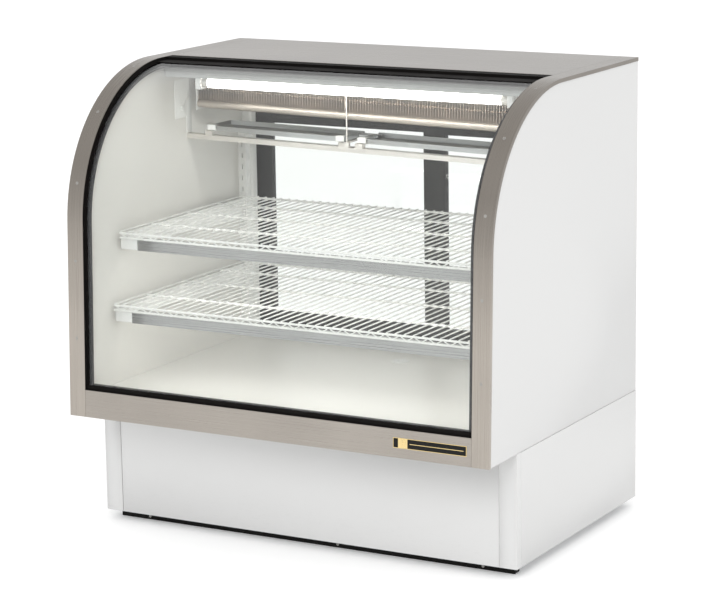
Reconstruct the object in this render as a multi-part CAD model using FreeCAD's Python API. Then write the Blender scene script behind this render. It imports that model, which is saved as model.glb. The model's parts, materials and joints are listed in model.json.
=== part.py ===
"""Refrigerated deli case with curved front glass, a gravity coil, two wire shelves and rear sliding doors.

Millimetres. The origin is on the floor, midway across and midway between front and back.
+X runs to the right as seen from the customer's side, +Y to the rear doors and +Z up.
"""

import FreeCAD
import Part
import math
import os

V = FreeCAD.Vector

# ---------------------------------------------------------------- driving dimensions
CASE_W = 1226.0
CASE_D = 895.0
CASE_H = 1222.0
FRONT_Y = -CASE_D / 2
BACK_Y = CASE_D / 2
SIDE_X = CASE_W / 2

SHEET = 1.2  # folded sheet metal
GAP = 0.3  # clearance between curved faces
END_WALL = 48.0
INNER_X = SIDE_X - END_WALL
SKIN_FIT = 0.4  # clearance of the sheets between the end walls

DISPLAY_Z = 322.0  # underside of the display section
BASE_Y = FRONT_Y + 156.0  # front of the base, set back under the display
PANEL_Z = 25.0  # lower edge of the base panels

FRONT_RADIUS = 400.0  # the curved front
FRONT_LEAN = math.radians(2.0)  # the straight part of the front leans in by this much
ARC_Z = CASE_H - FRONT_RADIUS
TANGENT_Z = ARC_Z + FRONT_RADIUS * math.sin(FRONT_LEAN)
ARC_Y = FRONT_Y + FRONT_RADIUS * math.cos(FRONT_LEAN) + (TANGENT_Z - DISPLAY_Z) * math.tan(FRONT_LEAN)

TRIM_LIP = 10.0
TRIM_RETURN = 9.0
TOP_FRONT_Y = 20.0  # front edge of the top panel

RAIL_TOP_Z = 394.0  # top of the stainless rail below the glass
BADGE_X = (350.0, 552.0)
BADGE_Z = (347.0, 373.0)
BADGE_T = 0.8
GLASS_RECESS = 10.0
PANE = 4.0
PANE_GAP = 8.0
GLASS_IN = GLASS_RECESS + 2 * PANE + PANE_GAP
GLASS_EDGE_X = INNER_X - 6.0
GLASS_LOW_Z = RAIL_TOP_Z + 5.0
GLASS_TOP_Y = 4.0
GASKET_IN = GLASS_IN + 3.0

DECK_Z = 381.0
DECK_SHEET = 1.0
SILL_Y = 395.0  # front of the rear door frame
SILL_Z = 394.0
CEILING_Z = 1182.0

SHELF_HALF_X = 549.0
SHELF_BACK_Y = 335.0
UPPER_SHELF_Z = 792.0
UPPER_SHELF_Y = -284.0
LOWER_SHELF_Z = 604.0
LOWER_SHELF_Y = -320.0
WIRE_R = 3.0
SURFACE_WIRE_R = 2.0
WIRE_PITCH = 25.0
TRUSS_H = 21.0
TRUSS_PITCH = 40.0

POST_X = 552.5  # centre plane of the shelf posts and brackets
POST_Y = 345.0
POST_W = 25.0

COIL_Y0 = 95.0
COIL_Y1 = 200.0
COIL_Z0 = 1084.0
COIL_Z1 = 1167.0
COIL_HALF_X = 536.0
FIN_PITCH = 8.0
FIN_T = 0.8
TUBE_R = 4.76
TUBE_COLUMNS = 4
TUBE_PITCH = (COIL_Y1 - COIL_Y0) / TUBE_COLUMNS
BEND_X = COIL_HALF_X + 5.0  # where the return bends begin
DRAIN_SLOPE = 1.0  # degrees; the coil and its pans fall to the right

PAN_Z = 1003.0
PAN_Y0 = 92.0
PAN_Y1 = 205.0
LEFT_PAN_X = (-500.0, -78.0)
RIGHT_PAN_X = (-33.0, 396.0)
RAIL_Y = 80.0
RAIL_Z = 978.0

LAMP_Y = -4.0
LAMP_Z = 1155.5
LAMP_R = 12.5
LAMP_HALF = 455.0

DOOR_T = 18.0
DOOR_INNER_Y = 400.0  # front face of the right door, on the inner track
DOOR_OUTER_Y = 424.0  # front face of the left door, on the outer track
DOOR_Z0 = 399.5
DOOR_Z1 = 1023.0
DOOR_STILE = 51.0
JAMB_X = INNER_X - 12.0
DOOR_GAP = 1.0
TRACK_TOP_Z = 401.0
ROLLER_R = 9.0
ROLLER_W = 6.0
AXLE_R = 2.5
ROLLER_INSET = 90.0

UNIT_Z = 40.0
TRAY_FLOOR = PANEL_Z + 2.5
FAN_X = 205.0
FAN_Y = 262.0
FAN_Z = 170.0
FAN_R = 100.0

SKIN_X = SIDE_X - SHEET
FLOOR_Z = DISPLAY_Z + SHEET
SCREW_R = 2.2
SCREW_HEAD_R = 4.2
SCREW_L = 12.0
SCREW_LINE_X = SIDE_X - END_WALL / 2
SCREW_SPACING = 204.0
FIRST_SCREW_Z = 530.0
HEAD_Z = 1015.0
HEAD_TOP_Z = 1040.0
UPSTAND = 40.0
DRAIN_Y = 250.0
DRAIN_R = 13.0
SUCTION_X, LIQUID_X, RISER_Y = -546.0, -557.5, 381.0
SUCTION_R, LIQUID_R = 6.0, 3.5
LIP_Y = -62.0

POST_FACE = 50.0
POST_LEG = 22.0
REAR_POST = 32.0
REAR_POST_Y = BACK_Y - 4.0
KICK_Y = BASE_Y + 36.0
KICK_X = 590.0
KICK_T = 2.0
FRAME_X = 545.0
FRAME_BACK = 10.0
FRAME_RAIL = 40.0
FRAME_WALL = 2.5
FRAME_Z0 = 2.0
FRAME_Z1 = PANEL_Z - 1.5
KICK_SCREW_X = (-500.0, 80.0, 500.0)
KICK_SCREW_Z = 9.0
STUD_R = 5.0
FOOT_INSET = 20.0
REAR_COVER_Z = (34.0, DISPLAY_Z - 4)
CONTROL_X0 = 395.0
CONTROL_Y = BACK_Y - 18.0
KNOB_X, KNOB_Z = 455.0, 230.0
SWITCH_X, SWITCH_Z = 525.0, 230.0
GLAND_X, GLAND_Z = 545.0, 80.0
SPINDLE_R = 4.0
SWITCH_ANGLE = 8.0
SWITCH_PIN_R = 1.5
ROCKER_R = 14.0

LEFT_DOOR = (-JAMB_X + DOOR_GAP, 36.0, DOOR_OUTER_Y)
RIGHT_DOOR = (14.0, JAMB_X - DOOR_GAP, DOOR_INNER_Y)
BOTTOM_RAIL = 46.0
TOP_RAIL = 34.0
ROLLER_Z = TRACK_TOP_Z + ROLLER_R
PULL_Z0 = 640.0
PULL_Z1 = 820.0
PULL_PROUD = 3.5
PULL_HOLE = 9.0

BRACKET_T = 2.0
FLANGE_W = 10.0
HOOK_DROPS = (12.0, 44.0)
CHANNEL_HALF = 500.0
CAP_HALF = POST_X - BRACKET_T / 2
CHANNEL_H = 29.0
CHANNEL_D = 34.0
SHELF_LAMP_R = 8.0
HOOD_Z = 1169.0
HOOD_Y0 = -22.0
HOOD_Y1 = 60.0

BAND_R = 10.5
BAND_Z = COIL_Z0 - BAND_R
COIL_PLATE_X = COIL_HALF_X + 2.6
WALL_PLATE_T = 1.5
WALL_PLATE_Y = (23.0, 103.5)
WALL_PLATE_Z = (1047.0, 1152.0)
WALL_BOLT = (57.0, 1073.0)
COIL_PORT_X = -556.5  # where the suction line turns into the coil
RAIL_H = 13.0
PAN_H = 14.0
SPOUT_Y0, SPOUT_Y1 = 172.0, 196.0
OUTLET_X, OUTLET_Y, OUTLET_R = 368.0, 150.0, 6.0
HANGER_X = -66.0

COMPRESSOR = (-210.0, 230.0)
PORT_Y = COMPRESSOR[1] + 92
DISCHARGE_PORT = (COMPRESSOR[0] + 20, 105.0)
SUCTION_PORT = (COMPRESSOR[0] - 20, 112.0)
CONDENSER_Y0 = 330.0
CONDENSER_Y1 = 395.0
CONDENSER_X = (95.0, 315.0)
CONDENSER_Z = (TRAY_FLOOR, 292.0)


# ---------------------------------------------------------------- small helpers
def box(x0, x1, y0, y1, z0, z1):
    return Part.makeBox(x1 - x0, y1 - y0, z1 - z0, V(x0, y0, z0))


def rod(start, end, radius):
    """A round bar between two points."""
    a, b = V(*start), V(*end)
    return Part.makeCylinder(radius, (b - a).Length, a, b - a)


def mirror_x(shape):
    return shape.mirror(V(0, 0, 0), V(1, 0, 0))


def group(shapes):
    return Part.makeCompound(list(shapes))


def pair(left):
    """A left-hand piece and its mirror image."""
    return group([left, mirror_x(left)])


def fuse(shapes):
    shapes = list(shapes)
    joined = shapes[0].multiFuse(shapes[1:]) if len(shapes) > 1 else shapes[0]
    return joined.removeSplitter()


def prism_x(points, x0, x1):
    """A polygon of (y, z) points pushed from x0 to x1."""
    wire = Part.makePolygon([V(x0, y, z) for y, z in points + points[:1]])
    return Part.Face(wire).extrude(V(x1 - x0, 0, 0))


def prism_y(points, y0, y1):
    """A polygon of (x, z) points pushed from y0 to y1."""
    wire = Part.makePolygon([V(x, y0, z) for x, z in points + points[:1]])
    return Part.Face(wire).extrude(V(0, y1 - y0, 0))


def slope(shape):
    """Tilts a part of the coil group so that water runs to the right."""
    tilted = shape.copy()
    tilted.rotate(V(0, RAIL_Y, RAIL_Z), V(0, 1, 0), DRAIN_SLOPE)
    return tilted


def slope_point(x, y, z):
    """Where a point of the coil group lies after the tilt."""
    turned = FreeCAD.Rotation(V(0, 1, 0), DRAIN_SLOPE).multVec(V(x, y - RAIL_Y, z - RAIL_Z))
    return turned + V(0, RAIL_Y, RAIL_Z)


def bent_tube(points, radius, bends):
    """A round tube of straight runs joined by tangent arcs, with one bend radius for each inner point."""
    points = [V(*p) for p in points]
    edges = []
    start = points[0]
    for before, corner, after, bend in zip(points, points[1:], points[2:], bends):
        to_before = (before - corner).normalize()
        to_after = (after - corner).normalize()
        turn = math.pi - to_before.getAngle(to_after)
        reach = bend * math.tan(turn / 2)
        first = corner + to_before * reach
        last = corner + to_after * reach
        inward = (to_before + to_after).normalize()
        middle = corner + inward * (bend / math.cos(turn / 2) - bend)
        if (first - start).Length > 1e-6:
            edges.append(Part.LineSegment(start, first).toShape())
        edges.append(Part.Arc(first, middle, last).toShape())
        start = last
    edges.append(Part.LineSegment(start, points[-1]).toShape())
    path = Part.Wire(edges)
    ring = Part.Wire(Part.makeCircle(radius, points[0], points[1] - points[0]))
    return path.makePipeShell([ring], True, False)


# ---------------------------------------------------------------- the curved front
def front_y(inset, z):
    """Y of the leaning front, moved inward by inset, at height z below the curve."""
    return FRONT_Y + inset / math.cos(FRONT_LEAN) + (z - DISPLAY_Z) * math.tan(FRONT_LEAN)


def front_edges(x, inset, low_z, back_y):
    """The front line, the arc and the top line, moved inward by inset, from low_z round to back_y."""
    radius = FRONT_RADIUS - inset
    low = V(x, front_y(inset, low_z), low_z)
    tangent = V(x, ARC_Y - radius * math.cos(FRONT_LEAN), ARC_Z + radius * math.sin(FRONT_LEAN))
    half = (FRONT_LEAN + math.pi / 2) / 2
    middle = V(x, ARC_Y - radius * math.cos(half), ARC_Z + radius * math.sin(half))
    crown = V(x, ARC_Y, CASE_H - inset)
    back = V(x, back_y, CASE_H - inset)
    edges = [
        Part.LineSegment(low, tangent).toShape(),
        Part.Arc(tangent, middle, crown).toShape(),
        Part.LineSegment(crown, back).toShape(),
    ]
    return edges, low, back


def front_band(outer, inner, low_z, back_y, x0, x1):
    """A strip that follows the curved front between two insets."""
    outside, low_out, back_out = front_edges(x0, outer, low_z, back_y)
    inside, low_in, back_in = front_edges(x0, inner, low_z, back_y)
    caps = [
        Part.LineSegment(back_out, back_in).toShape(),
        Part.LineSegment(low_in, low_out).toShape(),
    ]
    wire = Part.Wire(Part.__sortEdges__(outside + inside + caps))
    return Part.Face(wire).extrude(V(x1 - x0, 0, 0))


def end_plate(inset, low_z, back_y, x0, x1):
    """A full end wall layer with the curved front."""
    edges, low, back = front_edges(x0, inset, low_z, back_y)
    heel = V(x0, back_y, low_z)
    edges += [Part.LineSegment(back, heel).toShape(), Part.LineSegment(heel, low).toShape()]
    return Part.Face(Part.Wire(Part.__sortEdges__(edges))).extrude(V(x1 - x0, 0, 0))


# ---------------------------------------------------------------- cabinet shell


def end_panel():
    """The outer sheet of the left end wall, folded across the wall's rear edge."""
    side = end_plate(SHEET + GAP, FLOOR_Z, BACK_Y, -SKIN_X, -SKIN_X + SHEET)
    rear_top = CASE_H - SHEET - GAP
    rear = box(-SKIN_X, -INNER_X - SHEET - 0.1, BACK_Y - SHEET, BACK_Y, FLOOR_Z, rear_top)
    return fuse([side, rear])


def end_foam():
    return end_plate(SHEET + GAP, FLOOR_Z, BACK_Y - SHEET, -SKIN_X + SHEET, -INNER_X - SHEET)


def end_liner():
    return end_plate(TRIM_RETURN + GAP, FLOOR_Z, BACK_Y - SHEET, -INNER_X - SHEET, -INNER_X)


def end_trim():
    """The stainless cap over the curved edge of the left end wall: face, outer lip and inner return."""
    face = front_band(0, SHEET, DISPLAY_Z, BACK_Y, -SIDE_X, -INNER_X)
    lip = front_band(0, TRIM_LIP, DISPLAY_Z, BACK_Y, -SIDE_X, -SKIN_X)
    inner = front_band(0, TRIM_RETURN, FLOOR_Z, BACK_Y, -INNER_X - SHEET, -INNER_X)
    trim = fuse([face, lip, inner])
    sinks = [on_trim(screw_sink(0.2), place, -SCREW_LINE_X) for place in screw_places()]
    return trim.cut(group(sinks))


def screw_places():
    """(y, z, outward angle) of each trim screw, evenly spaced along the front from the first one."""
    places = []
    straight = (TANGENT_Z - FIRST_SCREW_Z) / math.cos(FRONT_LEAN)
    arc = FRONT_RADIUS * (math.pi / 2 - FRONT_LEAN)
    for n in range(8):
        along = n * SCREW_SPACING
        if along < straight:
            z = FIRST_SCREW_Z + along * math.cos(FRONT_LEAN)
            places.append((front_y(0, z), z, FRONT_LEAN))
        elif along < straight + arc:
            angle = FRONT_LEAN + (along - straight) / FRONT_RADIUS
            y = ARC_Y - FRONT_RADIUS * math.cos(angle)
            places.append((y, ARC_Z + FRONT_RADIUS * math.sin(angle), angle))
        elif ARC_Y + along - straight - arc < BACK_Y - 20:
            places.append((ARC_Y + along - straight - arc, CASE_H, math.pi / 2))
    return places


def on_trim(shape, place, x):
    """Sets a shape that stands along +Z at the origin on the trim's face, square to it."""
    y, z, angle = place
    turn = FreeCAD.Rotation(V(0, 0, 1), V(0, -math.cos(angle), math.sin(angle)))
    placed = shape.copy()
    placed.Placement = FreeCAD.Placement(V(x, y, z), turn)
    return placed


def screw_sink(extra):
    """The cone of a countersunk head, widened by extra."""
    return Part.makeCone(SCREW_R + extra, SCREW_HEAD_R + extra, SHEET, V(0, 0, -SHEET))


def cross_recess(z0, z1):
    return group([box(-2.5, 2.5, -0.4, 0.4, z0, z1), box(-0.4, 0.4, -2.5, 2.5, z0, z1)])


def trim_screw():
    """A countersunk cross-head screw, its head's face just below the origin."""
    head = screw_sink(0).common(box(-9, 9, -9, 9, -SHEET, -0.1))
    return fuse([head, rod((0, 0, -SCREW_L), (0, 0, -SHEET), SCREW_R)]).cut(cross_recess(-0.9, 1))


def strip_screw(x):
    """A pan-head screw on the face of the kick strip."""
    head = Part.makeCone(SCREW_HEAD_R, SCREW_HEAD_R - 1, 1.6, V(0, 0, 0))
    shank = rod((0, 0, -8), (0, 0, 0), SCREW_R)
    screw = fuse([head, shank]).cut(cross_recess(0.7, 3))
    screw.Placement = FreeCAD.Placement(V(x, KICK_Y, KICK_SCREW_Z), FreeCAD.Rotation(V(0, 0, 1), V(0, -1, 0)))
    return screw


def panel_screws():
    """Trim screws on both ends and the screws of the kick strip."""
    screws = [strip_screw(x) for x in KICK_SCREW_X]
    for place in screw_places():
        for x in (-SCREW_LINE_X, SCREW_LINE_X):
            screws.append(on_trim(trim_screw(), place, x))
    return group(screws)


def top_panel():
    """The stainless top between the end trims, folded down at the front and down the back to the doors."""
    top = box(-INNER_X + SKIN_FIT, INNER_X - SKIN_FIT, TOP_FRONT_Y, BACK_Y, CASE_H - SHEET, CASE_H)
    front = box(-INNER_X + SKIN_FIT, INNER_X - SKIN_FIT, TOP_FRONT_Y, TOP_FRONT_Y + SHEET, CEILING_Z, CASE_H)
    back = box(-INNER_X + SKIN_FIT, INNER_X - SKIN_FIT, BACK_Y - SHEET, BACK_Y, HEAD_TOP_Z, CASE_H)
    return fuse([top, front, back])


def foam():
    """Foam of both end walls, the ceiling, the wall above the doors, and the floor with its two upstands."""
    x = INNER_X - SKIN_FIT
    top = CASE_H - SHEET
    ceiling = box(-x, x, TOP_FRONT_Y + SHEET, BACK_Y - SHEET, CEILING_Z, top)
    rear_wall = box(-x, x, SILL_Y + 3, BACK_Y - SHEET, HEAD_TOP_Z, CEILING_Z)
    behind = SHEET + GAP
    under_deck = DECK_Z - DECK_SHEET
    under_rail = RAIL_TOP_Z - SHEET
    back = BACK_Y - 2 * SHEET
    slab = [
        (front_y(behind, FLOOR_Z), FLOOR_Z),
        (front_y(behind, under_deck), under_deck),
        (back, under_deck),
        (back, FLOOR_Z),
    ]
    upstand = [
        (front_y(behind, under_deck), under_deck),
        (front_y(behind, under_rail), under_rail),
        (front_y(UPSTAND, DECK_Z), under_rail),
        (front_y(UPSTAND, DECK_Z), under_deck),
    ]
    floor = prism_x(slab, -x, x).cut(floor_holes(0.5))
    sill = box(-x, x, SILL_Y, back, under_deck, SILL_Z - SHEET)
    left = end_foam()
    return group([left, mirror_x(left), ceiling, rear_wall, floor, prism_x(upstand, -x, x), sill])


def floor_holes(clearance):
    """Where the drain and the two refrigerant risers pass down through the display's floor."""
    low, high = DISPLAY_Z - 5, DECK_Z + 5
    drain = rod((0, DRAIN_Y, low), (0, DRAIN_Y, high), DRAIN_R + clearance)
    suction = rod((SUCTION_X, RISER_Y, low), (SUCTION_X, RISER_Y, high), SUCTION_R + clearance)
    liquid = rod((LIQUID_X, RISER_Y, low), (LIQUID_X, RISER_Y, high), LIQUID_R + clearance)
    return group([drain, suction, liquid])


def liners():
    """The white inner sheets of both end walls and the ceiling."""
    left = end_liner()
    ceiling = fuse(
        [
            box(-INNER_X + SKIN_FIT, INNER_X - SKIN_FIT, TOP_FRONT_Y, SILL_Y + 3, CEILING_Z - 1, CEILING_Z),
            box(-INNER_X + SKIN_FIT, INNER_X - SKIN_FIT, SILL_Y + 2, SILL_Y + 3, HEAD_TOP_Z, CEILING_Z),
        ]
    )
    return group([left, mirror_x(left), ceiling])


def front_rail():
    """The stainless rail below the glass, between the end trims, with returns at top and bottom."""
    x = INNER_X - 0.5
    return prism_x(
        [
            (front_y(0, DISPLAY_Z), DISPLAY_Z),
            (front_y(0, RAIL_TOP_Z), RAIL_TOP_Z),
            (front_y(UPSTAND, RAIL_TOP_Z), RAIL_TOP_Z),
            (front_y(UPSTAND, RAIL_TOP_Z), RAIL_TOP_Z - SHEET),
            (front_y(SHEET, RAIL_TOP_Z), RAIL_TOP_Z - SHEET),
            (front_y(SHEET, DISPLAY_Z), DISPLAY_Z),
        ],
        -x,
        x,
    )


def badge_plate():
    """A blank name plate on the rail's face."""
    low, high = BADGE_Z
    back = [(front_y(0, low), low), (front_y(0, high), high)]
    face = [(front_y(-BADGE_T, high), high), (front_y(-BADGE_T, low), low)]
    return prism_x(back + face, *BADGE_X)


def glass_pane(outer):
    return front_band(outer, outer + PANE, GLASS_LOW_Z, GLASS_TOP_Y, -GLASS_EDGE_X, GLASS_EDGE_X)


def glass_seals():
    """The black gasket round the glass unit and the spacer between its two panes."""
    gap_in = GLASS_RECESS + PANE + 0.15
    gap_out = GLASS_RECESS + PANE + PANE_GAP - 0.15
    side = front_band(GLASS_RECESS, GASKET_IN, GLASS_LOW_Z, GLASS_TOP_Y, -INNER_X, -GLASS_EDGE_X)
    cheek = front_band(SHEET + GAP, GLASS_RECESS, RAIL_TOP_Z, GLASS_TOP_Y, -INNER_X, -INNER_X + 1.5)
    low = prism_x(
        [
            (front_y(3, RAIL_TOP_Z), RAIL_TOP_Z),
            (front_y(3, RAIL_TOP_Z), RAIL_TOP_Z + 2),
            (front_y(GLASS_RECESS - 3, RAIL_TOP_Z), RAIL_TOP_Z + 2),
            (front_y(GLASS_RECESS - 3, RAIL_TOP_Z), RAIL_TOP_Z + 12),
            (front_y(GLASS_RECESS, RAIL_TOP_Z + 12), RAIL_TOP_Z + 12),
            (front_y(GLASS_RECESS, GLASS_LOW_Z), GLASS_LOW_Z),
            (front_y(GLASS_IN, GLASS_LOW_Z), GLASS_LOW_Z),
            (front_y(GLASS_IN, RAIL_TOP_Z + 12), RAIL_TOP_Z + 12),
            (front_y(GASKET_IN, RAIL_TOP_Z + 12), RAIL_TOP_Z + 12),
            (front_y(GASKET_IN, RAIL_TOP_Z), RAIL_TOP_Z),
        ],
        -INNER_X,
        INNER_X,
    )
    head = box(-INNER_X, INNER_X, -12, TOP_FRONT_Y, CASE_H - GASKET_IN, CASE_H - 1)
    slot = front_band(GLASS_RECESS, GLASS_IN, GLASS_LOW_Z, GLASS_TOP_Y, -INNER_X - 1, INNER_X + 1)
    lip = front_band(GLASS_RECESS - 2, GLASS_RECESS - 0.15, CASE_H - 120, GLASS_TOP_Y, -INNER_X, INNER_X)
    lip = lip.common(box(-INNER_X, INNER_X, LIP_Y, GLASS_TOP_Y, DISPLAY_Z, CASE_H))
    gasket = fuse([side, mirror_x(side), cheek, mirror_x(cheek), low, head.cut(slot), lip])
    bar = 8.0
    rim = front_band(gap_in, gap_out, GLASS_LOW_Z, GLASS_TOP_Y, -GLASS_EDGE_X, GLASS_EDGE_X)
    open_x = GLASS_EDGE_X - bar
    hollow = front_band(gap_in - 1, gap_out + 1, GLASS_LOW_Z + bar, GLASS_TOP_Y - bar, -open_x, open_x)
    return gasket, rim.cut(hollow)


def deck_pan():
    """The stainless floor of the display, turned up at the front and back, with its drain hole."""
    x = INNER_X - SKIN_FIT
    y0 = front_y(UPSTAND, DECK_Z)
    floor = box(-x, x, y0, SILL_Y, DECK_Z - 1, DECK_Z)
    front = box(-x, x, y0, y0 + 1, DECK_Z - 1, RAIL_TOP_Z - SHEET)
    back = box(-x, x, SILL_Y - 1, SILL_Y, DECK_Z - 1, SILL_Z - SHEET)
    return fuse([floor, front, back]).cut(floor_holes(0.3))


def underside_panel():
    """The white sheet that closes the display section from below."""
    front = front_y(SHEET, FLOOR_Z) + 0.05
    sheet = box(-SKIN_X, SKIN_X, front, BACK_Y - SHEET, DISPLAY_Z, FLOOR_Z)
    return sheet.cut(floor_holes(0.5))


def rear_sill():
    """The stainless apron below the rear doors, folded over the sill."""
    x = INNER_X - SKIN_FIT
    return fuse(
        [
            box(-x, x, BACK_Y - 2 * SHEET, BACK_Y - SHEET, FLOOR_Z, SILL_Z),
            box(-x, x, SILL_Y, BACK_Y - SHEET, SILL_Z - SHEET, SILL_Z),
        ]
    )


# ---------------------------------------------------------------- base


def base_front_panel():
    """The white front of the base: a flanged sheet between the corner posts."""
    x = SIDE_X - POST_FACE - 0.8
    y = BASE_Y + 1.0
    return fuse(
        [
            box(-x, x, y, y + SHEET, PANEL_Z, DISPLAY_Z),
            box(-x, -x + SHEET, y, y + 16, PANEL_Z, DISPLAY_Z),
            box(x - SHEET, x, y, y + 16, PANEL_Z, DISPLAY_Z),
            box(-x, x, y, y + 16, PANEL_Z, PANEL_Z + SHEET),
        ]
    )


def base_posts():
    """Four corner posts of folded angle and the rear mullion; the front pair shows beside the front panel."""
    front = fuse(
        [
            box(-SIDE_X, -SIDE_X + POST_FACE, BASE_Y, BASE_Y + 2, PANEL_Z, DISPLAY_Z),
            box(-SIDE_X, -SIDE_X + 2, BASE_Y, BASE_Y + POST_LEG, PANEL_Z, DISPLAY_Z),
            box(-SIDE_X + POST_FACE - 2, -SIDE_X + POST_FACE, BASE_Y, BASE_Y + POST_LEG, PANEL_Z, DISPLAY_Z),
        ]
    )
    back = fuse(
        [
            box(-SKIN_X + 2, -SKIN_X + REAR_POST, REAR_POST_Y - 2, REAR_POST_Y, PANEL_Z, DISPLAY_Z),
            box(-SKIN_X + 2, -SKIN_X + 4, REAR_POST_Y - 26, REAR_POST_Y, PANEL_Z, DISPLAY_Z),
        ]
    )
    mullion = box(CONTROL_X0 - 20, CONTROL_X0 - 0.5, REAR_POST_Y - 2, REAR_POST_Y, PANEL_Z, DISPLAY_Z)
    return group([front, mirror_x(front), back, mirror_x(back), mullion])


def base_sides():
    """The white lower side panels."""
    left = fuse(
        [
            box(-SKIN_X - SHEET, -SKIN_X, BASE_Y + POST_LEG + 0.5, BACK_Y, PANEL_Z, DISPLAY_Z - GAP),
            box(-SKIN_X - SHEET, -SKIN_X + 14, BACK_Y - SHEET, BACK_Y, PANEL_Z, DISPLAY_Z - GAP),
        ]
    )
    return group([left, mirror_x(left)])


def base_frame():
    """The black steel frame on the floor and, ahead of it, the wider kick strip."""
    y0, y1 = KICK_Y + KICK_T, BACK_Y - FRAME_BACK
    ring = box(-FRAME_X, FRAME_X, y0, y1, FRAME_Z0, FRAME_Z1)
    ring = ring.cut(frame_layer(FRAME_RAIL, FRAME_Z0 - 1, FRAME_Z1 + 1))
    channel = frame_layer(FRAME_WALL, FRAME_Z0 - 1, FRAME_Z1 - FRAME_WALL)
    core = frame_layer(FRAME_RAIL - FRAME_WALL, FRAME_Z0, FRAME_Z1)
    pads = [rod((x, y, FRAME_Z1 - 12), (x, y, FRAME_Z1), 9) for x, y in foot_places()]
    ring = fuse([ring.cut(channel.cut(core))] + pads)
    studs = [rod((x, y, 0), (x, y, FRAME_Z1 - 1), STUD_R + 0.2) for x, y in foot_places()]
    strip = box(-KICK_X, KICK_X, KICK_Y, y0, FRAME_Z0, FRAME_Z1)
    ends = [box(x, x + KICK_T, KICK_Y, KICK_Y + 24, FRAME_Z0, FRAME_Z1) for x in (-KICK_X, KICK_X - KICK_T)]
    holes = [
        rod((x, KICK_Y - 5, KICK_SCREW_Z), (x, KICK_Y + 9, KICK_SCREW_Z), SCREW_R + 0.1) for x in KICK_SCREW_X
    ]
    return group([ring.cut(group(studs + holes)), fuse([strip] + ends).cut(group(holes))])


def frame_layer(inset, low, high):
    """The block inside the frame's outline, moved inward by inset."""
    y0, y1 = KICK_Y + KICK_T + inset, BACK_Y - FRAME_BACK - inset
    return box(-FRAME_X + inset, FRAME_X - inset, y0, y1, low, high)


def foot_places():
    xs = (-FRAME_X + FOOT_INSET, FRAME_X - FOOT_INSET)
    ys = (KICK_Y + KICK_T + FOOT_INSET, BACK_Y - FRAME_BACK - FOOT_INSET)
    return [(x, y) for x in xs for y in ys]


def floor_glide(x, y):
    """A low pad on a stud below the frame."""
    pad = Part.makeCone(19, 17, FRAME_Z0, V(x, y, 0), V(0, 0, 1))
    stud = rod((x, y, FRAME_Z0 - 0.5), (x, y, FRAME_Z1 - 2), STUD_R)
    return fuse([pad, stud])


def base_pan():
    """The floor of the machine space; it carries the condensing unit and the base panels."""
    return box(-SKIN_X + 2, SKIN_X - 2, BASE_Y + 3, BACK_Y - 4, FRAME_Z1, PANEL_Z)


def louvre(low):
    """The (y, z) section of one louvre's hood above its slot."""
    top, bottom = low + 9, low + 1
    y = REAR_POST_Y
    return [(y, top), (y + 1.5, top), (y + 3.5, bottom), (y + 2.4, bottom)]


def rear_grille():
    """The louvred rear cover of the machine space."""
    x0, x1 = -SKIN_X + 16, CONTROL_X0 - 2
    z0, z1 = REAR_COVER_Z
    sheet = box(x0, x1, REAR_POST_Y, REAR_POST_Y + 1.5, z0, z1)
    rows, columns = 11, 5
    step_x = (x1 - x0 - 40) / columns
    step_z = (z1 - z0 - 40) / rows
    slots, hoods = [], []
    for column in range(columns):
        left = x0 + 20 + column * step_x + 8
        right = left + step_x - 16
        for row in range(rows):
            low = z0 + 20 + row * step_z
            slots.append(box(left, right, BACK_Y - 6, BACK_Y, low, low + 9))
            hoods.append(prism_x(louvre(low), left, right))
    return fuse([sheet.cut(group(slots))] + hoods)


def control_panel():
    """The recessed plate beside the grille: temperature dial, lamp switch and cord gland."""
    x0, x1 = CONTROL_X0, SKIN_X - REAR_POST - 2
    z0, z1 = REAR_COVER_Z
    plate = box(x0, x1, CONTROL_Y, CONTROL_Y + SHEET, z0, z1)
    rim = box(x0, x1, CONTROL_Y, BACK_Y - 2, z0, z1)
    rim = rim.cut(box(x0 + SHEET, x1 - SHEET, CONTROL_Y - 1, BACK_Y, z0 + SHEET, z1 - SHEET))
    ear = box(x1 - SHEET, SKIN_X - 16, REAR_POST_Y, REAR_POST_Y + 1.5, z0, z1)
    panel = fuse([plate, rim, ear])
    shaft = rod((KNOB_X, CONTROL_Y - 5, KNOB_Z), (KNOB_X, CONTROL_Y + 5, KNOB_Z), SPINDLE_R + 0.06)
    window = switch_box(10.5, 15.5, CONTROL_Y - 5, CONTROL_Y + 5)
    gland_hole = rod((GLAND_X, CONTROL_Y - 5, GLAND_Z), (GLAND_X, CONTROL_Y + 5, GLAND_Z), 8.0)
    return panel.cut(group([shaft, window, gland_hole]))


def cord_gland():
    """The strain relief of the supply cord."""
    nose = Part.makeCone(12, 8.5, 12, V(GLAND_X, CONTROL_Y + SHEET, GLAND_Z), V(0, 1, 0))
    stem = rod((GLAND_X, CONTROL_Y - 10, GLAND_Z), (GLAND_X, CONTROL_Y + SHEET + 1, GLAND_Z), 7.8)
    bore = rod((GLAND_X, CONTROL_Y - 20, GLAND_Z), (GLAND_X, BACK_Y, GLAND_Z), 4.5)
    return fuse([nose, stem]).cut(bore)


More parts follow.
